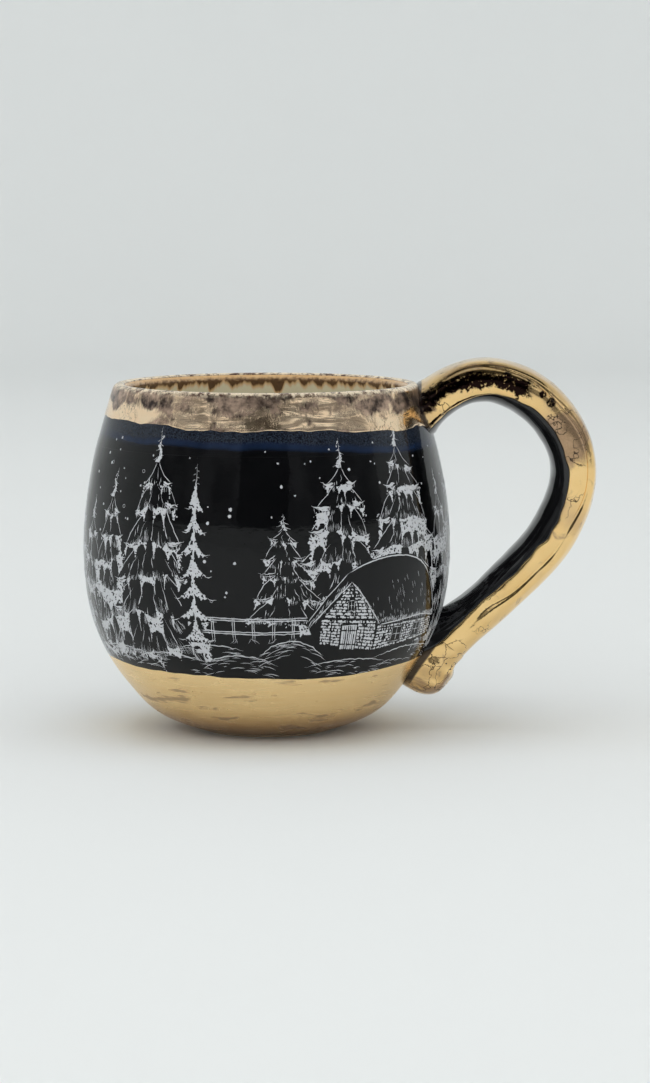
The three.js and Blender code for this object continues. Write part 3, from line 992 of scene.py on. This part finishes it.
def fir(drawing, seed, at, foot, top, half_width, count, snowy):
    """A fir in snow: tiers of dark boughs, with speckled snow between one tier and the next."""
    rng = np.random.default_rng(seed)
    height = top - foot
    crown = top - CROWN * height
    shares = (np.arange(count + 1) / count) ** 1.32
    levels = crown - (crown - foot) * shares
    levels[1:-1] += rng.uniform(-0.05, 0.05, count - 1) * height / count
    drops = -np.diff(levels)
    spreads = half_width * (0.12 + 0.88 * shares[1:] ** 0.8)
    tiers = [Tier(rng, *sizes) for sizes in zip(levels[1:], drops, spreads)]

    def trunk(z):
        return at + 0.6 * math.sin(z * 0.1 + seed * 1.7)

    crown_tip(drawing, rng, trunk, top, crown, snowy)
    outer = {side: [(trunk(top), top)] for side in (-1, 1)}
    last = {side: np.array([trunk(crown) + side * 0.6, crown]) for side in (-1, 1)}
    for k, tier in enumerate(tiers):
        middle = trunk(tier.level)
        middle_above = trunk(levels[k])
        snow_band(drawing, rng, tier, tiers[k + 1] if k + 1 < count else None, middle, snowy)
        boughs(drawing, rng, tier, middle, middle_above)
        for side in (-1, 1):
            reach = tier.left if side < 0 else tier.right
            tip = np.array([middle + side * reach, tier.base(side * reach)])
            horn(drawing, rng, tip, side, reach, snowy)
            inner = last[side] * 0.62 + np.array([middle_above, levels[k]]) * 0.38
            bow = (rng.uniform(-0.06, 0.17) if k else -0.12) * tier.drop
            drawing.bend(inner, tip, side * bow, rng.uniform(0.22, 0.34), taper=(0.1, 0.1))
            outer[side] += [tuple(inner), tuple(tip + np.array([side * 0.3, -0.4]))]
            last[side] = tip + np.array([-side * reach * 0.26, -0.5])
    drawing.block([*outer[-1], *outer[1][:0:-1]])


def crown_tip(drawing, rng, trunk, top, crown, snowy):
    """The spire: a bright stem with short twigs, thicker with snow where it meets the boughs."""
    height = top - crown
    drawing.line([(trunk(top), top), (trunk(crown) + 0.2, crown)], 0.42, taper=(0.8, 0))

    def depth(s, z):
        share = np.clip((top - z) / height, 0, 1)
        middle = trunk(crown) + 0.5 * np.sin(z * 1.3)
        return np.where(share < 1, (0.5 * snowy + 0.25) * share**1.6 - np.abs(s - middle), -1)

    drawing.fill((trunk(crown) - 3, trunk(crown) + 3, crown - 0.5, top), depth)
    for k in range(7):
        side = 1 if k % 2 else -1
        z = top - (0.12 + 0.115 * k) * height
        end = (trunk(z) + side * (0.5 + 0.26 * k) * rng.uniform(0.7, 1.2), z - 0.25 - 0.16 * k)
        drawing.bend((trunk(z), z), end, -0.18 * side, 0.34, taper=(0.1, 0.6))


def snow_band(drawing, rng, tier, under, middle, snowy):
    """The snow between a tier's rounded boughs and the tops of the next ones, running down between those.
    The last tier has none under it, and less snow."""
    edges = tier.edges if under is None else under.edges
    edges = edges * ((tier.left + tier.right) / (edges[-1] - edges[0]) * 1.02)
    below = len(edges) - 1
    thick = (0.05 + 0.62 * rng.uniform(0, 1, below) ** 1.8) * snowy * tier.drop
    arch = rng.uniform(0.35, 0.7, below)
    drip = rng.uniform(0.12, 0.5, below + 1) * snowy * tier.drop
    if under is None:
        thick *= 0.45
        arch *= 0.4
        drip *= 0.4
    sway_phase = rng.uniform(0, 6)

    def depth(s, z):
        x = s - middle
        k, width, across = cell_of(edges, x)
        base = tier.base(x) + 0.09 * tier.drop * np.sin(x * 0.55 + sway_phase)
        to_left = (1 + across) * width / 2
        to_right = (1 - across) * width / 2
        running = drip[k] * np.exp(-to_left / 0.42) + drip[k + 1] * np.exp(-to_right / 0.42)
        arched = arch[k] * np.minimum(width, 4) * (np.sqrt(1 - across**2) - 0.5)
        lower = base - thick[k] - 0.9 + arched - running
        upper = np.maximum(tier.underside(x), base - 0.22 * tier.drop)
        return np.minimum(np.minimum(upper - z, z - lower), (1.03 - tier.reach(x)) * 2)

    low = tier.level - tier.drop - 4
    drawing.fill((middle - tier.left - 1, middle + tier.right + 1, low, tier.level + 4), depth)


def boughs(drawing, rng, tier, middle, middle_above):
    """The fine lines of a tier: the partings of its boughs and short hairs along their lower edges."""
    for edge in tier.edges[1:-1]:
        start = np.array([middle + edge, tier.base(edge)])
        end = np.array([middle_above + edge * 0.5, tier.level + tier.drop * rng.uniform(0.45, 0.85)])
        end = start + (end - start) * rng.uniform(0.6, 1.0)
        sag = rng.uniform(-0.4, 0.4)
        drawing.bend(start, end, sag, rng.uniform(0.3, 0.62), taper=(0.02, 0.85), shake=0.09)
    for left, right in zip(tier.edges, tier.edges[1:]):
        width = right - left
        for share in rng.uniform(0.04, 0.96, int(width * 2.6) + 2):
            x = left + width * share
            z = float(tier.underside(x)) + 0.1
            long = rng.uniform(0.08, 0.34) * tier.drop * (1.5 - abs(2 * share - 1))
            end = (middle + x * (1 - 0.05 * long), z + long)
            drawing.bend((middle + x, z), end, rng.uniform(-0.15, 0.15), 0.2, taper=(0.1, 0.6))
        for share in rng.uniform(0.2, 0.8, int(rng.integers(0, 3))):
            x = left + width * share
            z = float(tier.underside(x)) + rng.uniform(0.2, 0.5) * tier.drop
            end = (middle + x * 0.8, z + rng.uniform(0.12, 0.34) * tier.drop)
            sag = rng.uniform(-0.2, 0.2)
            drawing.bend((middle + x * 0.85, z), end, sag, rng.uniform(0.22, 0.42))


def horn(drawing, rng, tip, side, reach, snowy):
    """The snowy pointed end of a side bough, with drips under it."""
    root = tip + np.array([-side * min(3.6, reach * 0.5), rng.uniform(-0.2, 0.7)])
    point = tip + np.array([side * rng.uniform(0.5, 1.7), rng.uniform(-0.5, 0.8)])
    for root_drop, point_shift, width in ((0, (0, 0), 1.0), (0.7, (-side, -0.5), 0.7)):
        start = root - np.array([0, root_drop])
        end = point + np.array(point_shift)
        drawing.bend(start, end, side * -0.5, width * snowy, taper=(0.2, 0.7), shake=0.12, step=0.5)
    for share in rng.uniform(0.1, 0.9, 4):
        hang = root + (point - root) * share - np.array([0, 0.4])
        drawing.line([hang, hang - np.array([side * 0.25, rng.uniform(0.6, 1.7)])], 0.34, taper=(0.1, 0.8))


def slender_fir(drawing, seed, at, foot, top, half_width, count):
    """A narrow young fir, bright all the way down, whose tiers flare into drooping points."""
    rng = np.random.default_rng(seed)
    height = top - foot
    crown = top - 0.12 * height
    edges = crown - (crown - foot) * (np.arange(count + 1) / count) ** 0.95
    drawing.line([(at, top), (at + 0.2, crown), (at, foot + 2)], 0.6, taper=(0.2, 0.1), shake=0.12)
    for k in range(6):
        side = 1 if k % 2 else -1
        z = top - (0.02 + 0.017 * k) * height
        end = (at + side * (0.6 + 0.12 * k), z - 0.3)
        drawing.bend((at, z), end, 0.15 * side, 0.3, taper=(0.1, 0.6))
    outer = {side: [(at, top)] for side in (-1, 1)}
    for k in range(count):
        high, low = edges[k] + 0.4, edges[k + 1]
        drop = high - low
        reach = half_width * (0.3 + 0.7 * (k + 1) / count)
        sides = {side: reach * rng.uniform(0.75, 1.2) for side in (-1, 1)}
        sag = rng.uniform(-0.4, 1.2, 2)

        def depth(s, z):
            x = s - at
            share = np.clip((high - z) / drop, 0, 1)
            width = 0.4 + np.where(x < 0, sides[-1], sides[1]) * share**2.3
            teeth = 0.6 * np.abs(np.sin(x * 2.6 + k)) + np.where(x < 0, sag[0], sag[1]) * np.abs(x) / reach
            hollow = 1.5 * np.clip(1 - np.abs(x) / (0.42 * reach), 0, 1) * (k % 3 != 0)
            return np.minimum(width - np.abs(x), z - low - teeth - hollow)

        drawing.fill((at - 2 * reach, at + 2 * reach, low - 1, high), depth, holes=0.95)
        for side in (-1, 1):
            tip = np.array([at + side * sides[side], low + 0.5])
            point = tip + np.array([side * rng.uniform(0.3, 1.1), rng.uniform(-0.5, 0.5)])
            drawing.bend(tip - np.array([side * 1.6, -0.3]), point, -0.3 * side, 0.6, taper=(0.1, 0.8))
            outer[side] += [tuple(point), (at + side * 0.9, low)]
    drawing.block([*outer[-1], *outer[1][:0:-1]])


def stonework(drawing, corners, course, clear=()):
    """Bright courses of stone between a left and a right edge that may slope, with dark joints and specks."""
    (l0, b0), (r0, b1), (r1, t1), (l1, t0) = corners
    courses = max(2, round(max(t0 - b0, t1 - b1) / course))
    stones = max(2, int((r0 - l0) / (course * 2.1)))
    cuts = [np.sort(drawing.rng.uniform(0, 1, stones)) for _ in range(courses)]

    def depth(s, z):
        across = np.clip((s - l0) / (r0 - l0), -0.2, 1.2) + 0 * z
        low = b0 + (b1 - b0) * across
        high = t0 + (t1 - t0) * across
        up = (z - low) / (high - low)
        left = l0 + (l1 - l0) * up
        right = r0 + (r1 - r0) * up
        across = (s - left) / np.maximum(right - left, 0.1)
        solid = np.minimum(np.minimum(s - left, right - s), np.minimum(z - low, high - z))
        row = np.clip((up * courses).astype(int), 0, courses - 1)
        open_joint = np.abs(up * courses - row - 0.5) > 0.36
        for k in range(courses):
            for cut in cuts[k]:
                open_joint |= (row == k) & (np.abs(across - cut) * (right - left) < 0.17)
        for s0, s1, z0, z1 in clear:
            open_joint |= (s > s0) & (s < s1) & (z > z0) & (z < z1)
        return np.where(open_joint, -1, solid)

    drawing.fill((min(l0, l1), max(r0, r1), min(b0, b1), max(t0, t1)), depth, holes=1.15)


def window(drawing, s0, s1, z0, z1):
    """A window's frame and its two glazing bars."""
    middle = (s0 + s1) / 2
    half_up = (z0 + z1) / 2
    bars = [(s0, z0, s0, z1), (s1, z0, s1, z1), (s0, z1, s1, z1), (s0, z0, s1, z0)]
    bars += [(middle, z0, middle, z1), (s0, half_up, s1, half_up)]
    for a, b, c, d in bars:
        drawing.line([(a, b), (c, d)], 0.3, taper=(0.05, 0.05))


def cottage(drawing, left, ground):
    """A low cottage with a plank door, stone walls and a deep thatched roof under snow."""
    rng = drawing.rng

    def at(s, z):
        return (left + s, ground + z)

    def box(s0, s1, z0, z1, margin=0.0):
        return (left + s0 - margin, left + s1 + margin, ground + z0 - margin, ground + z1 + margin)

    def door_depth(s, z):
        return np.ones(np.broadcast(s, z).shape)

    front_wall = [at(0, 2.2), at(17.5, -0.6), at(17.2, 7.6), at(0.4, 9.0)]
    stonework(drawing, front_wall, 0.95, [box(6.0, 11.4, -1, 7.4)])
    drawing.fill(box(6.5, 10.9, 0, 6.9), door_depth, 0, SOLID)
    cuts = [(7.15 + 0.64 * k, -1, 7.2 + 0.64 * k, 6.7, 0.26) for k in range(6)]
    cuts += [(6.4, 5.6, 11, 5.3, 0.3), (6.4, 1.9, 11, 1.5, 0.3), (5, 0, 11.5, -0.6, 1.4)]
    cuts += [(3.2, 0, 3.2, 8.8, 0.3), (13.6, 0, 13.6, 8.8, 0.3)]
    for s0, z0, s1, z1, width in cuts:
        drawing.erase([at(s0, z0), at(s1, z1)], width)

    peak = at(8.6, 18.6)
    gable = [at(0.9, 9.4), at(16.9, 8.0), peak, (peak[0] - 0.4, peak[1])]
    stonework(drawing, gable, 0.9, [box(7.5, 9.9, 10.6, 13.9)])
    window(drawing, *box(7.8, 9.6, 10.9, 13.6))
    drawing.erase([at(0, 9.35), at(17.4, 7.85)], 0.42)
    drawing.line([at(-2.6, 7.4), at(2.4, 12.8), peak], 0.5, taper=(0.1, 0.05))
    drawing.line([at(18.8, 6.4), at(14, 12.4), peak], 0.45, taper=(0.1, 0.05))
    drawing.line([at(-3.8, 8.2), at(1.6, 14.9), at(7.4, 20.8)], 0.4, taper=(0.1, 0.05))

    def left_slope():
        share = rng.uniform(0, 1)
        return at(-2.9 + 11 * share, 8.1 + 11.4 * share)

    def right_slope():
        share = rng.uniform(0, 1)
        return at(9 + 9.4 * share, 18.6 - 11.4 * share)

    def eaves():
        s = 19 + 25 * rng.uniform(0, 1)
        return at(s, 7.4 + rng.uniform(0, 1.1))

    drawing.hairs(46, left_slope, (-0.55, -1.1), (0.6, 1.5), 0.26, 0.35)
    drawing.hairs(30, right_slope, (0.5, -0.9), (0.6, 1.3), 0.24, 0.3)
    ridge = [at(7.4, 20.8), at(13, 23.2), at(21, 24.6), at(29, 24.0), at(35, 21.4), at(38.6, 17.4)]
    drawing.line(ridge, 0.55, taper=(0.1, 0.1))
    drawing.line([at(38.6, 17.4), at(41.8, 12), at(44.6, 6.6)], 0.45)
    drawing.line([at(18.8, 6.4), at(27, 7.0), at(36, 7.6), at(44.6, 6.6)], 0.5, taper=(0.05, 0.05))
    drawing.hairs(150, eaves, (-0.2, -1.1), (0.5, 1.1), 0.28)
    for _ in range(75):
        s, z = rng.uniform(13, 41), rng.uniform(9, 20)
        if z <= 8 + (s - 10) * 0.9 and z <= 24 - max(0, s - 28) * 0.9:
            lean = 0.3 + 0.5 * (s - 12) / 30
            start = np.array(at(s, z))
            drawing.line([start, start + np.array([lean, -1.6]) * rng.uniform(0.4, 1.4)], 0.2)
    windows = [(24.2, 28.2, 1.2, 5.2), (33.6, 37.0, 1.9, 5.5)]
    long_wall = [at(17.9, -0.5), at(44, 1.8), at(43.4, 6.4), at(18.2, 6.2)]
    stonework(drawing, long_wall, 0.8, [box(*opening, margin=0.3) for opening in windows])
    for opening in windows:
        window(drawing, *box(*opening))
    roof = [at(38.6, 18.4), at(35, 22.2), at(29, 24.6), at(21, 25.2), at(13, 23.8), at(7.2, 21.2)]
    drawing.block([at(-1.2, 2), at(18, -1), at(44.6, 1.2), at(45.6, 6.6), *roof, at(1.4, 15.2), at(-4, 8.2)])


def fence(drawing, start, end, top):
    """A fence of two double rails on posts, with grass at the posts' feet."""
    rng = drawing.rng
    for level in (0, -3.6):
        for gap in (0.28, -0.28):
            z = top + level + gap
            drawing.line([(start, z + 0.4), ((start + end) / 2, z), (end, z + 0.3)], 0.42, taper=(0.02, 0.02))
    for s in np.arange(start + 3.4, end, 5.6):
        s += rng.uniform(-0.5, 0.5)
        for offset in (-0.28, 0.3):
            drawing.line([(s + offset, top + 0.9), (s + offset + 0.1, top - 5.6)], 0.3, taper=(0.1, 0.2))
        for _ in range(3):
            low = (s + rng.uniform(-2, 2), top - 6.4)
            drawing.bend((s + rng.uniform(-1.2, 1.2), top - 5), low, 0.2, 0.22)


def bank(drawing, start, end, level, height, hatches):
    """A low bank of snow: its crest, and curved strokes that follow it."""
    rng = drawing.rng
    share = np.linspace(0, 1, 7)
    crest_line = np.stack([start + (end - start) * share, level + height * np.sin(math.pi * share) ** 0.8], 1)
    drawing.line(crest_line, 0.42, taper=(0.2, 0.2), shake=0.1)
    for _ in range(hatches):
        across = rng.uniform(0.02, 0.98)
        s = start + (end - start) * across
        z = level + height * math.sin(math.pi * across) ** 0.8 - rng.uniform(0.4, 4.4)
        slope = 0.7 * height * math.pi * math.cos(math.pi * across) / (end - start) + rng.normal(0, 0.1)
        half = rng.uniform(0.5, 2.6)
        ends = [(s + way * half, z + way * slope * half) for way in (-1, 1)]
        drawing.bend(*ends, 0.13 * half, rng.uniform(0.18, 0.3))


def flake(drawing, s, z, size):
    """A round flake of falling snow."""

    def depth(a, b):
        return size - np.hypot(a - s, b - z)

    drawing.fill((s - 1, s + 1, z - 1, z + 1), depth, 0, SOLID)


def sky(drawing, count, low, high):
    """Falling snow: round flakes, and a few drawn as rings."""
    rng = drawing.rng
    turn = np.linspace(0, TURN, 9)
    for k in range(count):
        s = rng.uniform(-HALF_ROUND, HALF_ROUND)
        z = rng.uniform(low, high)
        size = 0.2 + 0.26 * rng.uniform(0, 1) ** 2
        if k % 12 == 0:
            ring = np.stack([s + 0.45 * np.cos(turn), z + 0.45 * np.sin(turn)], 1)
            drawing.line(ring, 0.17, taper=(0, 0), step=0.3, shake=0)
        else:
            flake(drawing, s, z, size)


BANKS = [  # start, end, level, height, how many hatches
    (-62, -36, 24.6, 1.8, 22),
    (-44, -16, 23.4, 2.6, 26),
    (-26, -6, 27.6, 1.4, 14),
    (-19, 4, 23.2, 3.0, 26),
    (-2, 17, 25.6, 4.6, 32),
    (12, 40, 22.8, 1.6, 26),
    (34, 66, 24.0, 2.2, 24),
    (66, 92, 25.0, 2.0, 20),
    (88, 116, 24.0, 3.2, 26),
    (112, 142, 23.4, 2.6, 24),
    (138, 172, 24.2, 3.0, 28),
    (-128, -96, 24.4, 2.8, 26),
    (-100, -78, 23.6, 2.2, 20),
    (-84, -58, 24.6, 2.4, 22),
]
FIRS = [  # seed, place, foot, top, half width, how many tiers, how snowy
    (1, -32, 28.5, 85.5, 17.5, 6, 1.0),
    (3, -48, 27.0, 74.0, 12.5, 6, 1.2),
    (4, -60, 27.0, 66.0, 11.0, 5, 1.3),
    (5, -75, 26.5, 80.0, 12.5, 6, 1.1),
    (6, 5.5, 37.0, 64.0, 10.5, 5, 0.45),
    (7, 21.5, 36.0, 83.0, 15.5, 6, 1.15),
    (8, 42.5, 38.0, 88.0, 17.5, 6, 1.15),
    (9, 61, 30.0, 73.0, 10.5, 5, 1.2),
    (10, 73, 28.0, 82.0, 11.5, 5, 1.0),
    (11, 89, 27.0, 70.0, 10.0, 5, 1.1),
    (12, 131, 29.0, 84.0, 15.0, 5, 1.0),
    (13, 116, 36.0, 67.0, 9.5, 4, 0.7),
    (14, 149, 28.0, 75.0, 12.0, 5, 1.1),
    (15, 166, 28.0, 62.0, 9.5, 4, 1.0),
    (16, -136, 28.0, 83.0, 14.0, 5, 1.0),
    (18, -103, 29.0, 60.0, 9.0, 4, 1.0),
    (19, -91, 27.5, 77.0, 12.0, 5, 1.1),
]


def landscape():
    """The whole scene round the mug, from the nearest things to the sky."""
    drawing = Drawing(70)
    cottage(drawing, 15.5, 27.0)
    for row in BANKS:
        bank(drawing, *row)
    fence(drawing, -17.5, 13.5, 36.0)
    fence(drawing, 96, 124, 35.0)
    slender_fir(drawing, 2, -19.0, 29.5, 76.5, 6.0, 7)
    slender_fir(drawing, 17, -119, 30.0, 71, 6.5, 6)
    for row in FIRS:
        fir(drawing, *row)
    sky(drawing, 360, 36, 82)
    return drawing


SUNK = -0.03  # how deep the drawing's edges lie in the glaze, in mm
EDGE_LIFTS = np.array([SUNK, -0.02, 0.022, 0.045, 0.06])  # by how many bright cells meet at a corner


def stroke_sheet(strokes):
    """Flat places, lifts and faces of tapered ridges along the strokes."""
    centres = np.concatenate([line for line, _ in strokes])
    halves = np.concatenate([widths for _, widths in strokes])
    ways = np.concatenate([np.gradient(line, axis=0) for line, _ in strokes])
    sides = unit(np.stack([-ways[:, 1], ways[:, 0]], 1)) * halves[:, None]
    flat = np.stack([centres + sides, centres, centres - sides], 1)
    sunk = np.full(len(halves), SUNK)
    lifts = np.stack([sunk, 0.025 + 0.1 * halves, sunk], 1)
    faces = []
    first = 0
    for line, _ in strokes:
        left = 3 * (first + np.arange(len(line) - 1))
        for corner in (left, left + 1):
            faces.append(np.stack([corner, corner + 1, corner + 4, corner + 3], 1))
        first += len(line)
    return flat.reshape(-1, 2), lifts.reshape(-1), np.concatenate(faces)


def mass_sheet(drawing, low, high):
    """Flat places, lifts and faces of the bright cells with s from low to high."""
    middles = -HALF_ROUND + (np.arange(SHEET_COLUMNS) + 0.5) * CELL_ROUND
    chosen = drawing.bright & (middles >= low) & (middles < high)
    around = drawing.bright.astype(int)
    around = around + np.roll(around, 1, 1)
    meeting = np.vstack([around, np.zeros((1, SHEET_COLUMNS), int)])
    meeting[1:] += around
    jitter = np.random.default_rng(77).uniform(-0.05, 0.05, (2, SHEET_ROWS + 1, SHEET_COLUMNS))
    row, column = np.nonzero(chosen)
    corner_rows = np.stack([row, row, row + 1, row + 1], 1)
    corner_columns = np.stack([column, column + 1, column + 1, column], 1)
    used, faces = np.unique(corner_rows * (SHEET_COLUMNS + 1) + corner_columns, return_inverse=True)
    r, c = np.divmod(used, SHEET_COLUMNS + 1)
    wrapped = c % SHEET_COLUMNS
    s = -HALF_ROUND + c * CELL_ROUND + jitter[0, r, wrapped]
    z = SHEET_LOW + r * CELL + jitter[1, r, wrapped]
    return np.stack([s, z], 1), EDGE_LIFTS[meeting[r, wrapped]], faces.reshape(-1, 4)


def winter_drawing(silver):
    """The drawing as four pieces, one for each quarter of the belly."""
    drawing = landscape()
    quarter = HALF_ROUND / 2
    means = np.array([line[:, 0].mean() for line, _ in drawing.strokes])
    middles = (means + HALF_ROUND) % (2 * HALF_ROUND) - HALF_ROUND
    for k, name in enumerate(["back_left", "front_left", "front_right", "back_right"]):
        low = (k - 2) * quarter
        high = low + quarter
        strokes = [drawing.strokes[n] for n in np.flatnonzero((middles >= low) & (middles < high))]
        places, lifts, faces = stroke_sheet(strokes)
        mass_places, mass_lifts, mass_faces = mass_sheet(drawing, low, high)
        flat = np.concatenate([places, mass_places])
        lifts = np.concatenate([lifts, mass_lifts])
        faces = np.concatenate([faces, mass_faces + len(places)])
        points = on_body(flat[:, 0] / BODY_RADIUS, place_at(flat[:, 1]), lifts)
        piece(add_object("winter_drawing_" + name, points, faces.tolist(), silver), "black_glaze")


winter_drawing(silver_ink())

# ---- Studio ----

SWEEP_TURNS = 96
SWEEP_FLOOR = 1500  # mm from the mug to where the floor begins to curve up
SWEEP_BEND = 500
SWEEP_TOP = 3200


def studio_cloth(name, size, low, high, **finish):
    """A plain material whose tone drifts from one colour to another over about a size in mm."""
    s = Shader(name)
    return s.finish(Base__Color=s.mix(s.noise(size, 2), low, high), **finish)


def sweep():
    """A pale bowl-shaped sweep all round the mug: its floor and its wall in one."""
    bend = np.linspace(0.1, math.pi / 2, 12)
    radii = [SWEEP_FLOOR, *(SWEEP_FLOOR + SWEEP_BEND * np.sin(bend)), SWEEP_FLOOR + SWEEP_BEND]
    heights = [0, *(SWEEP_BEND - SWEEP_BEND * np.cos(bend)), SWEEP_TOP]
    angle = np.arange(SWEEP_TURNS) * TURN / SWEEP_TURNS
    rings = [
        np.stack([radius * np.cos(angle), radius * np.sin(angle), 0 * angle + height], -1)
        for radius, height in zip(radii, heights)
    ]
    faces = grid_faces(len(rings), SWEEP_TURNS, False, True).tolist()
    floor = list(range(SWEEP_TURNS))[::-1]
    paper = studio_cloth("pale_sweep", 300, (0.77, 0.785, 0.78), (0.79, 0.805, 0.8), Roughness=0.85)
    return add_object("sweep", np.concatenate(rings), [*faces, floor], paper)


def front_board():
    """A dark board behind the camera, which stands for whatever is dark in front of the real mug."""
    half = [(-300, 150), (-350, 300), (-350, 700), (-370, 1200), (-330, 1400), (-200, 1450), (0, 1430)]
    border_points = half + [(-0.94 * x, z) for x, z in half[-2::-1]]
    corners = [(x, -1150, z) for x, z in catmull_rom(border_points, np.linspace(0, 1, 60))]
    cloth = studio_cloth("dark_board", 60, (0.02, 0.02, 0.02), (0.04, 0.038, 0.036))
    return add_object("board", corners, [tuple(range(len(corners)))], cloth)


def dark_ceiling():
    """A black cloth above and in front of the mug."""
    corners = [(-1300, -1300, 1700), (-1300, 250, 1700), (1300, 250, 1700), (1300, -1300, 1700)]
    cloth = studio_cloth("ceiling_cloth", 90, (0.004, 0.004, 0.004), (0.012, 0.011, 0.01))
    return add_object("dark_ceiling", corners, [(0, 1, 2, 3)], cloth)


def dim_room():
    """The rest of the room: a dim wall round the front, with an uneven top."""
    s = Shader("dim_room")
    shade = s.mix(s.ramp(s.noise(420, 2), 0.35, 0.65), (0.12, 0.12, 0.125), (0.34, 0.34, 0.35))
    around = np.radians(np.linspace(-78, 78, 60))
    foot = 110
    top = 1180 + 60 * np.sin(around * 5) + 40 * np.sin(around * 11 + 1)
    rows = [ring_points(1900, around, foot + (top - foot) * up) for up in (0, 0.5, 1)]
    faces = grid_faces(len(rows), len(around), False, False).tolist()
    return add_object("dim_room", np.concatenate(rows), faces, s.finish(Base__Color=shade, Roughness=0.9))


def area_light(name, place, target, size, power):
    """A soft rectangular light, in metres and watts, that is not seen in the mug's reflections."""
    data = bpy.data.lights.new(name, "AREA")
    data.shape = "RECTANGLE"
    data.size, data.size_y = size
    data.energy = power
    light = bpy.data.objects.new(name, data)
    light.location = place
    light.rotation_euler = aimed(place, target)
    light.visible_glossy = False
    light.visible_camera = False
    bpy.context.collection.objects.link(light)


def aimed(place, target):
    """The turn that points a light or a camera from its place to a target."""
    return (Vector(target) - Vector(place)).to_track_quat("-Z", "Y").to_euler()


sweep()
for board in (front_board(), dark_ceiling(), dim_room()):  # seen only in reflections
    board.visible_camera = False
    board.visible_diffuse = False
    board.visible_shadow = False

area_light("overhead", (0.0, -0.1, 1.5), (0, 0, 0), (1.3, 1.3), 9.4)
area_light("front_fill", (0.0, -1.25, 0.75), (0, 0, 0.02), (1.4, 0.8), 3.2)
area_light("left_window", (-1.3, -0.35, 0.75), (0, 0, 0.06), (0.9, 1.2), 2.4)
area_light("right_window", (1.3, -0.2, 0.7), (0, 0, 0.06), (0.9, 1.2), 1.6)
WALL_WASHES = [  # which way they face, x and y, how high they aim, and watts
    (0, 1, 1.1, 5.6),
    (-1, 0, 0.9, 5.5),
    (1, 0, 0.9, 5.5),
    (0, -1, 1.9, 12),
]
for k, (way_x, way_y, high, watts) in enumerate(WALL_WASHES):
    place = (0.6 * way_x, 0.6 * way_y, 1.55)
    area_light(f"wall_wash_{k}", place, (2 * way_x, 2 * way_y, high), (1.4, 0.8), watts)

world = bpy.data.worlds.new("studio_air")
world.use_nodes = True
air = world.node_tree.nodes["Background"]
air.inputs["Color"].default_value = (0.95, 0.98, 1.0, 1)
air.inputs["Strength"].default_value = 0.35
bpy.context.scene.world = world
bpy.context.scene.view_settings.view_transform = "Standard"

# ---- Camera ----

CAMERA_SIDE_STEP = 0.0159
CAMERA_PLACE = (CAMERA_SIDE_STEP, -1.0, 0.1651)
CAMERA_TARGET = (CAMERA_SIDE_STEP, 0, 0.0512)
camera_data = bpy.data.cameras.new("camera")
camera_data.lens = 122.4
camera = bpy.data.objects.new("camera", camera_data)
camera.location = CAMERA_PLACE
camera.rotation_euler = aimed(CAMERA_PLACE, CAMERA_TARGET)
bpy.context.collection.objects.link(camera)
bpy.context.scene.camera = camera
